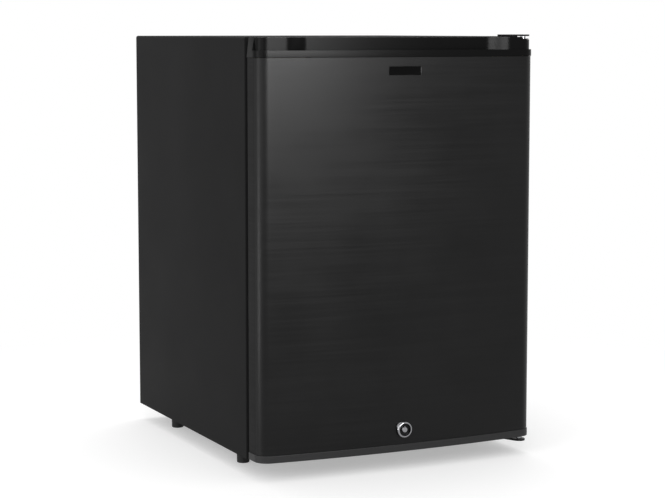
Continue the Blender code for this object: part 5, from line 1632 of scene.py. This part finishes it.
floor_lit_cap = pebbled(
    "Bottom cap", CAP_FLOOR_LIT_GREY, roughness=0.45, grain=1400.0, depth=0.08, drift=0.10, dust=0.01,
    Specular_IOR_Level=0.12,
)
bottom_low, bottom_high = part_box("door_bottom_cap")
bm = bmesh.new()
ends = door_line(bm, -CAP_PROUD, bottom_low.z)
bm.edges.new(ends)
bmesh.ops.contextual_create(bm, geom=bm.edges[:])
raise_faces(bm, bm.faces[:], (0, 0, bottom_high.z - bottom_low.z))
cap_bottom = put_piece(
    "bottom_cap", bm, floor_lit_cap, "door", ["door_bottom_cap"], smooth=None
)
soften(cap_bottom, BOTTOM_EDGE, segments=3, angle=35.0)

# Two black nylon bushes are pressed into the caps and turn on the hinge pins. Each has a flange
# that keeps the door off the hinge plate.

BUSH_FLANGE = 0.0012
BUSH_OUTLINE = [(0.0038, -0.0085), (0.0056, -0.0085), (0.0060, -0.0081), (0.0060, 0.0003)]
BUSH_OUTLINE += [(0.0073, 0.0003), (0.0075, 0.0005), (0.0075, 0.0010), (0.0073, BUSH_FLANGE)]
BUSH_OUTLINE += [(0.0040, BUSH_FLANGE), (0.0038, 0.0010), (0.0038, -0.0085)]
NYLON_BLACK = (0.010, 0.010, 0.010, 1.0)

nylon = pebbled(
    "Nylon", NYLON_BLACK, roughness=0.42, grain=600.0, depth=0.08, drift=0.10,
    Specular_IOR_Level=0.25,
)
for where, towards in (("top", "z"), ("bottom", "-z")):
    node = f"hinge_bush_{where}"
    low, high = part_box(node)
    seat = high.z - BUSH_FLANGE if where == "top" else low.z + BUSH_FLANGE
    bm = turned(BUSH_OUTLINE, at(*centre(node)[:2], seat, towards), sides=36)
    put_piece(f"nylon_bush_{where}", bm, nylon, "door", [node])


# The door's inner face is vacuum formed in white plastic, with a raised ridge all round that
# stands into the room and small lugs on its inside that carry the racks.

RIDGE_EDGE = 0.0011

refine("door_liner", "door_inner_face", white_liner, "door", RIDGE_EDGE, segments=4)


# The seal is soft black vinyl, extruded as a hollow bellows and welded at its mitred corners.
# It grips behind the door's inner face and closes on the casing's front.

SEAL_WIDTH = 0.014
SEAL_FOLDS = [(0.0, 0.0), (0.0, 0.18), (0.0022, 0.30), (0.0022, 0.40)]
SEAL_FOLDS += [(0.0, 0.52), (0.0, 0.96), (0.0006, 1.0)]
SEAL_BLACK = (0.012, 0.012, 0.0125, 1.0)

seal_rubber = pebbled(
    "Seal rubber", SEAL_BLACK, roughness=0.58, grain=900.0, depth=0.12, drift=0.15,
    Specular_IOR_Level=0.15,
)
gasket_low, gasket_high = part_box("door_gasket")
bellows = SEAL_FOLDS + [(SEAL_WIDTH - inward, along) for inward, along in reversed(SEAL_FOLDS)]


def gasket_section(sign_x, sign_z):
    """The seal's outline at one of its mitred corners."""
    depth = gasket_high.y - gasket_low.y
    places = []
    for inward, along in bellows:
        z = gasket_high.z - inward if sign_z > 0 else gasket_low.z + inward
        places.append((sign_x * (gasket_high.x - inward), gasket_low.y + depth * along, z))
    return places


bm = bmesh.new()
rings = []
for sign_x, sign_z in ((-1, -1), (1, -1), (1, 1), (-1, 1)):
    ring = [bm.verts.new(place) for place in gasket_section(sign_x, sign_z)]
    rings.append([bm.edges.new(pair) for pair in zip(ring, ring[1:] + ring[:1])])
for first, second in zip(rings, rings[1:] + rings[:1]):
    bmesh.ops.bridge_loops(bm, edges=first + second)
bmesh.ops.recalc_face_normals(bm, faces=bm.faces)
put_piece("door_seal", bm, seal_rubber, "door", ["door_gasket"], smooth=50.0)


# The two door racks are clear moulded bins whose ends drop over the lugs. They are thin-walled
# with rounded corners, and lift out for washing.

RACK_EDGE = 0.0008

clear_rack = clear_plastic("Clear rack", scale=30.0, haze=(0.03, 0.12), tint=(0.95, 0.99))
for where in ("upper", "lower"):
    node, name = f"door_rack_{where}", f"clear_rack_{where}"
    refine(node, name, clear_rack, f"{where}_rack", RACK_EDGE)


# The badge is a small moulded plate in gloss black with a raised rim, stuck near the top of
# the sheet. It is left bare.

BADGE_RIM = 0.0007
BADGE_SINK = 0.0003
BADGE_BLACK = (0.0020, 0.0020, 0.0020, 1.0)

gloss_black = pebbled(
    "Gloss black", BADGE_BLACK, roughness=0.16, grain=300.0, depth=0.02, drift=0.08,
    Specular_IOR_Level=0.05,
)
bm = merged("badge_plate")
front = [face for face in bm.faces if face.normal.y < -0.9]
bmesh.ops.inset_region(bm, faces=front, thickness=BADGE_RIM, use_even_offset=True)
sunk = list(dict.fromkeys(vert for face in front for vert in face.verts))
bmesh.ops.translate(bm, verts=sunk, vec=(0, BADGE_SINK, 0))
badge = put_piece(
    "bare_badge", bm, gloss_black, "door", ["badge_plate"], smooth=None
)
soften(badge, FINE_EDGE, segments=2)


# The lock is a chromed cylinder lock with a round keyway. Its domed bezel has a small ear at
# the upper left, and a nut behind the door clamps its barrel.

LOCK_Z = 0.0545
LOCK_FRONT_Y = -0.22775
BARREL_RADIUS = 0.0090
BARREL_BORE = 0.0063
BARREL_END = -0.0478
BARREL_THREAD = (0.001, 0.0004)
BEZEL_RADIUS = 0.011
BEZEL_SEAT = 0.0003
BEZEL_DOME = (0.0012, 0.0033)
WELL_RADIUS = 0.0080
WELL_FLOOR = -0.0050
WELL_RIM = [(WELL_RADIUS, 0.0036), (0.0084, 0.0043)]
EAR_PLACE = (-0.005, 0.0042, 0.0)
EAR_CUT = 0.0084
EAR = [(0.0, 0.0006), (0.0064, 0.0006), (0.0064, 0.0020), (0.0061, 0.0026)]
EAR += [(0.0055, 0.0028), (0.0, 0.0028)]

lock_place = at(0.0, LOCK_FRONT_Y, LOCK_Z, "-y")
profile = [(BARREL_BORE, BARREL_END), (BARREL_BORE, WELL_FLOOR), (WELL_RADIUS, WELL_FLOOR)]
profile += WELL_RIM
for step in range(9):
    turn = math.pi / 2 * step / 8
    out = BARREL_RADIUS + (BEZEL_RADIUS - BARREL_RADIUS) * math.sin(turn)
    profile.append((out, BEZEL_DOME[0] + BEZEL_DOME[1] * math.cos(turn)))
profile += [(BEZEL_RADIUS, BEZEL_SEAT), (BARREL_RADIUS, BEZEL_SEAT)]
pitch, tooth = BARREL_THREAD
height = 0.0
while height > BARREL_END + pitch:
    profile += [(BARREL_RADIUS, height), (BARREL_RADIUS - tooth, height - pitch / 2)]
    height -= pitch
profile += [(BARREL_RADIUS - tooth, BARREL_END), (BARREL_BORE, BARREL_END)]
bm = turned(profile, lock_place, sides=64)
ear_place = lock_place @ Matrix.Translation(EAR_PLACE)
ear = turned(EAR, ear_place, sides=48)
outward = (ear_place.translation - lock_place.translation).normalized()
bmesh.ops.bisect_plane(
    ear,
    geom=ear.verts[:] + ear.edges[:] + ear.faces[:],
    plane_co=lock_place.translation + outward * EAR_CUT,
    plane_no=outward,
    clear_inner=True,
)
bmesh.ops.holes_fill(ear, edges=ear.edges, sides=0)
join(bm, ear)
put_piece("lock_bezel", bm, chrome, "door", ["lock_body"], smooth=35.0)

# The plug turns in the barrel with the key, which fits over the post in the middle of the deep
# well. A square stub at its rear carries the cam, with a screw.

POST_RADIUS = 0.0037
POST_CROWN = [(0.0, 0.0035), (0.0025, 0.0039), (0.0033, 0.0037), (POST_RADIUS, 0.0032)]
PLUG_RADIUS = 0.0060
STUB_HALF = 0.0025
STUB_RUN = (0.0465, 0.0497)
TAB_HALF = 0.0006
TAB_RUN = (-0.0032, 0.0020)
TAB_RISE = (-0.0002, 0.0009)
NUT_EDGE = 0.0004
CAM_EDGE = 0.0003

profile = POST_CROWN + [(POST_RADIUS, WELL_FLOOR), (PLUG_RADIUS, WELL_FLOOR)]
profile += [(PLUG_RADIUS, BARREL_END), (0.0, BARREL_END)]
bm = turned(profile, lock_place, sides=48)
add_block(
    bm,
    (-STUB_HALF, LOCK_FRONT_Y + STUB_RUN[0], LOCK_Z - STUB_HALF),
    (STUB_HALF, LOCK_FRONT_Y + STUB_RUN[1], LOCK_Z + STUB_HALF),
)
post_top = LOCK_Z + POST_RADIUS
add_block(
    bm,
    (-TAB_HALF, LOCK_FRONT_Y + TAB_RUN[0], post_top + TAB_RISE[0]),
    (TAB_HALF, LOCK_FRONT_Y + TAB_RUN[1], post_top + TAB_RISE[1]),
)
put_piece("lock_core", bm, chrome, "lock", ["lock_plug"], smooth=35.0)
refine("lock_nut", "barrel_nut", zinc_plate, "door", NUT_EDGE)
refine("lock_cam", "lock_tongue", zinc_plate, "lock", CAM_EDGE)
cam_low, cam_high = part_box("lock_cam_screw")
cam_outline = pan_screw(face=0.0004, edge=0.0010, tall=0.0018, end=cam_high.y - cam_low.y)
cam_place = at(0.0, cam_high.y, LOCK_Z, "y")
make_screw("lock_cam_screw", "tongue_screw", "lock", cam_place, cam_outline)


# The studio is a sheet of pale paper in a white room. Three soft lamps light it from the left,
# the front and above, and the shine of three more shows only in the door and its hinges. The
# camera stands at the photograph's place, just over the height of the fridge's top.

FLOOR_HALF = 12.0
FLOOR_LIFT = 0.40
FLOOR_CLEAR = (0.34, 0.95)
FLOOR_PAPER = (0.69, 0.71)
ROOM_LIGHT = 0.75
WHITE = (1.0, 1.0, 1.0, 1.0)


def seen_rays(tree):
    """One for the rays that show a surface to the eye, straight or in gloss or glass."""
    path = add_node(tree, "ShaderNodeLightPath").outputs
    direct = math_node(tree, "MAXIMUM", path["Is Camera Ray"], path["Is Glossy Ray"])
    return math_node(tree, "MAXIMUM", direct, path["Is Transmission Ray"])


bm = bmesh.new()
bmesh.ops.create_grid(bm, x_segments=1, y_segments=1, size=FLOOR_HALF)
floor_mesh = bpy.data.meshes.new("floor")
bm.to_mesh(floor_mesh)
bm.free()
floor = bpy.data.objects.new("floor", floor_mesh)
bpy.context.scene.collection.objects.link(floor)
floor_paper, floor_shader = start_finish("Floor paper", Roughness=0.9, Specular_IOR_Level=0.0)
tree = floor_paper.node_tree
paper_place = place_on(tree)
paper_grain = ranged(tree, noise(tree, paper_place, scale=3.0), *FLOOR_PAPER)
tree.links.new(grey_of(tree, paper_grain), floor_shader.inputs["Base Color"])
seen = seen_rays(tree)
lift = math_node(tree, "MULTIPLY", seen, FLOOR_LIFT)
tree.links.new(lift, floor_shader.inputs["Emission Strength"])
floor_shader.inputs["Emission Color"].default_value = WHITE
away = add_node(tree, "ShaderNodeVectorMath", {0: paper_place}, operation="LENGTH")
faded = add_node(
    tree,
    "ShaderNodeMapRange",
    {0: away.outputs["Value"], 1: FLOOR_CLEAR[0], 2: FLOOR_CLEAR[1]},
    interpolation_type="SMOOTHSTEP",
)
bright = add_node(tree, "ShaderNodeEmission", {"Color": WHITE, "Strength": 1.0})
hidden = math_node(tree, "MULTIPLY", seen, faded.outputs[0])
floor_mix = add_node(
    tree, "ShaderNodeMixShader", {0: hidden, 1: floor_shader.outputs[0], 2: bright.outputs[0]}
)
tree.links.new(floor_mix.outputs[0], tree.nodes["Material Output"].inputs["Surface"])
floor_mesh.materials.append(floor_paper)

world = bpy.data.worlds.new("Studio")
world.use_nodes = True
bpy.context.scene.world = world
tree = world.node_tree
tree.nodes.clear()
seen = seen_rays(tree)
lit = add_node(tree, "ShaderNodeBackground", {"Color": WHITE, "Strength": ROOM_LIGHT})
white = add_node(tree, "ShaderNodeBackground", {"Color": WHITE, "Strength": 1.0})
either = add_node(tree, "ShaderNodeMixShader", {0: seen, 1: lit.outputs[0], 2: white.outputs[0]})
add_node(tree, "ShaderNodeOutputWorld", {"Surface": either.outputs[0]})

door_pieces = bpy.data.collections.new("door pieces")
for name in ("front_sheet", "top_cap", "bottom_cap", "bare_badge", "lock_bezel", "lock_core",
             "hinge_leaf_top", "hinge_leaf_bottom", "hinge_pivot_top", "hinge_pivot_bottom"):
    door_pieces.objects.link(bpy.data.objects[name])


def hang_lamp(name, place, aim, size, power, shine=False):
    """Hang a soft lamp of a given width and height, and aim it. A shine only shows in the door."""
    lamp = bpy.data.lights.new(name, "AREA")
    lamp.shape = "RECTANGLE"
    lamp.size, lamp.size_y = size
    lamp.energy = power
    holder = bpy.data.objects.new(name, lamp)
    holder.location = place
    holder.rotation_euler = (Vector(aim) - Vector(place)).to_track_quat("-Z", "Y").to_euler()
    holder.visible_camera = False
    if shine:
        holder.visible_diffuse = False
        holder.light_linking.receiver_collection = door_pieces
    bpy.context.scene.collection.objects.link(holder)


hang_lamp(
    "strip lamp", (-0.10, -1.35, 0.73), aim=(-0.16, -0.2, 0.45), size=(0.8, 0.3), power=26.0,
    shine=True,
)
hang_lamp(
    "tall lamp", (-1.5, -0.20, 0.48), aim=(-0.2, -0.2, 0.32), size=(0.5, 1.9), power=12.0,
    shine=True,
)
hang_lamp(
    "low lamp", (-1.5, -0.20, 0.035), aim=(-0.2, -0.2, 0.035), size=(0.5, 0.06), power=2.6,
    shine=True,
)
hang_lamp("left lamp", (-2.3, -1.3, 1.1), aim=(-0.1, -0.1, 0.35), size=(1.4, 1.8), power=16.0)
hang_lamp("front lamp", (-1.2, -2.9, 1.9), aim=(0.0, 0.0, 0.3), size=(1.6, 1.6), power=24.0)
hang_lamp("top lamp", (0.3, 0.8, 2.8), aim=(0.0, 0.0, 0.5), size=(1.6, 1.6), power=20.0)

LENS = 101.10
SENSOR = 36.0
SIGHT_END = 50.0
YAW = 25.510
PITCH = 6.107
FRAME_SHIFT = -0.03
CAMERA_PLACE = (-1.1206, -2.3591, 0.5759)
camera_data = bpy.data.cameras.new("camera")
camera_data.lens = LENS
camera_data.sensor_width = SENSOR
camera_data.shift_y = FRAME_SHIFT
camera_data.clip_end = SIGHT_END
camera = bpy.data.objects.new("camera", camera_data)
camera.location = CAMERA_PLACE
camera.rotation_euler = (math.radians(90 - PITCH), 0.0, math.radians(-YAW))
bpy.context.scene.collection.objects.link(camera)
bpy.context.scene.camera = camera
bpy.context.scene.view_settings.view_transform = "Standard"
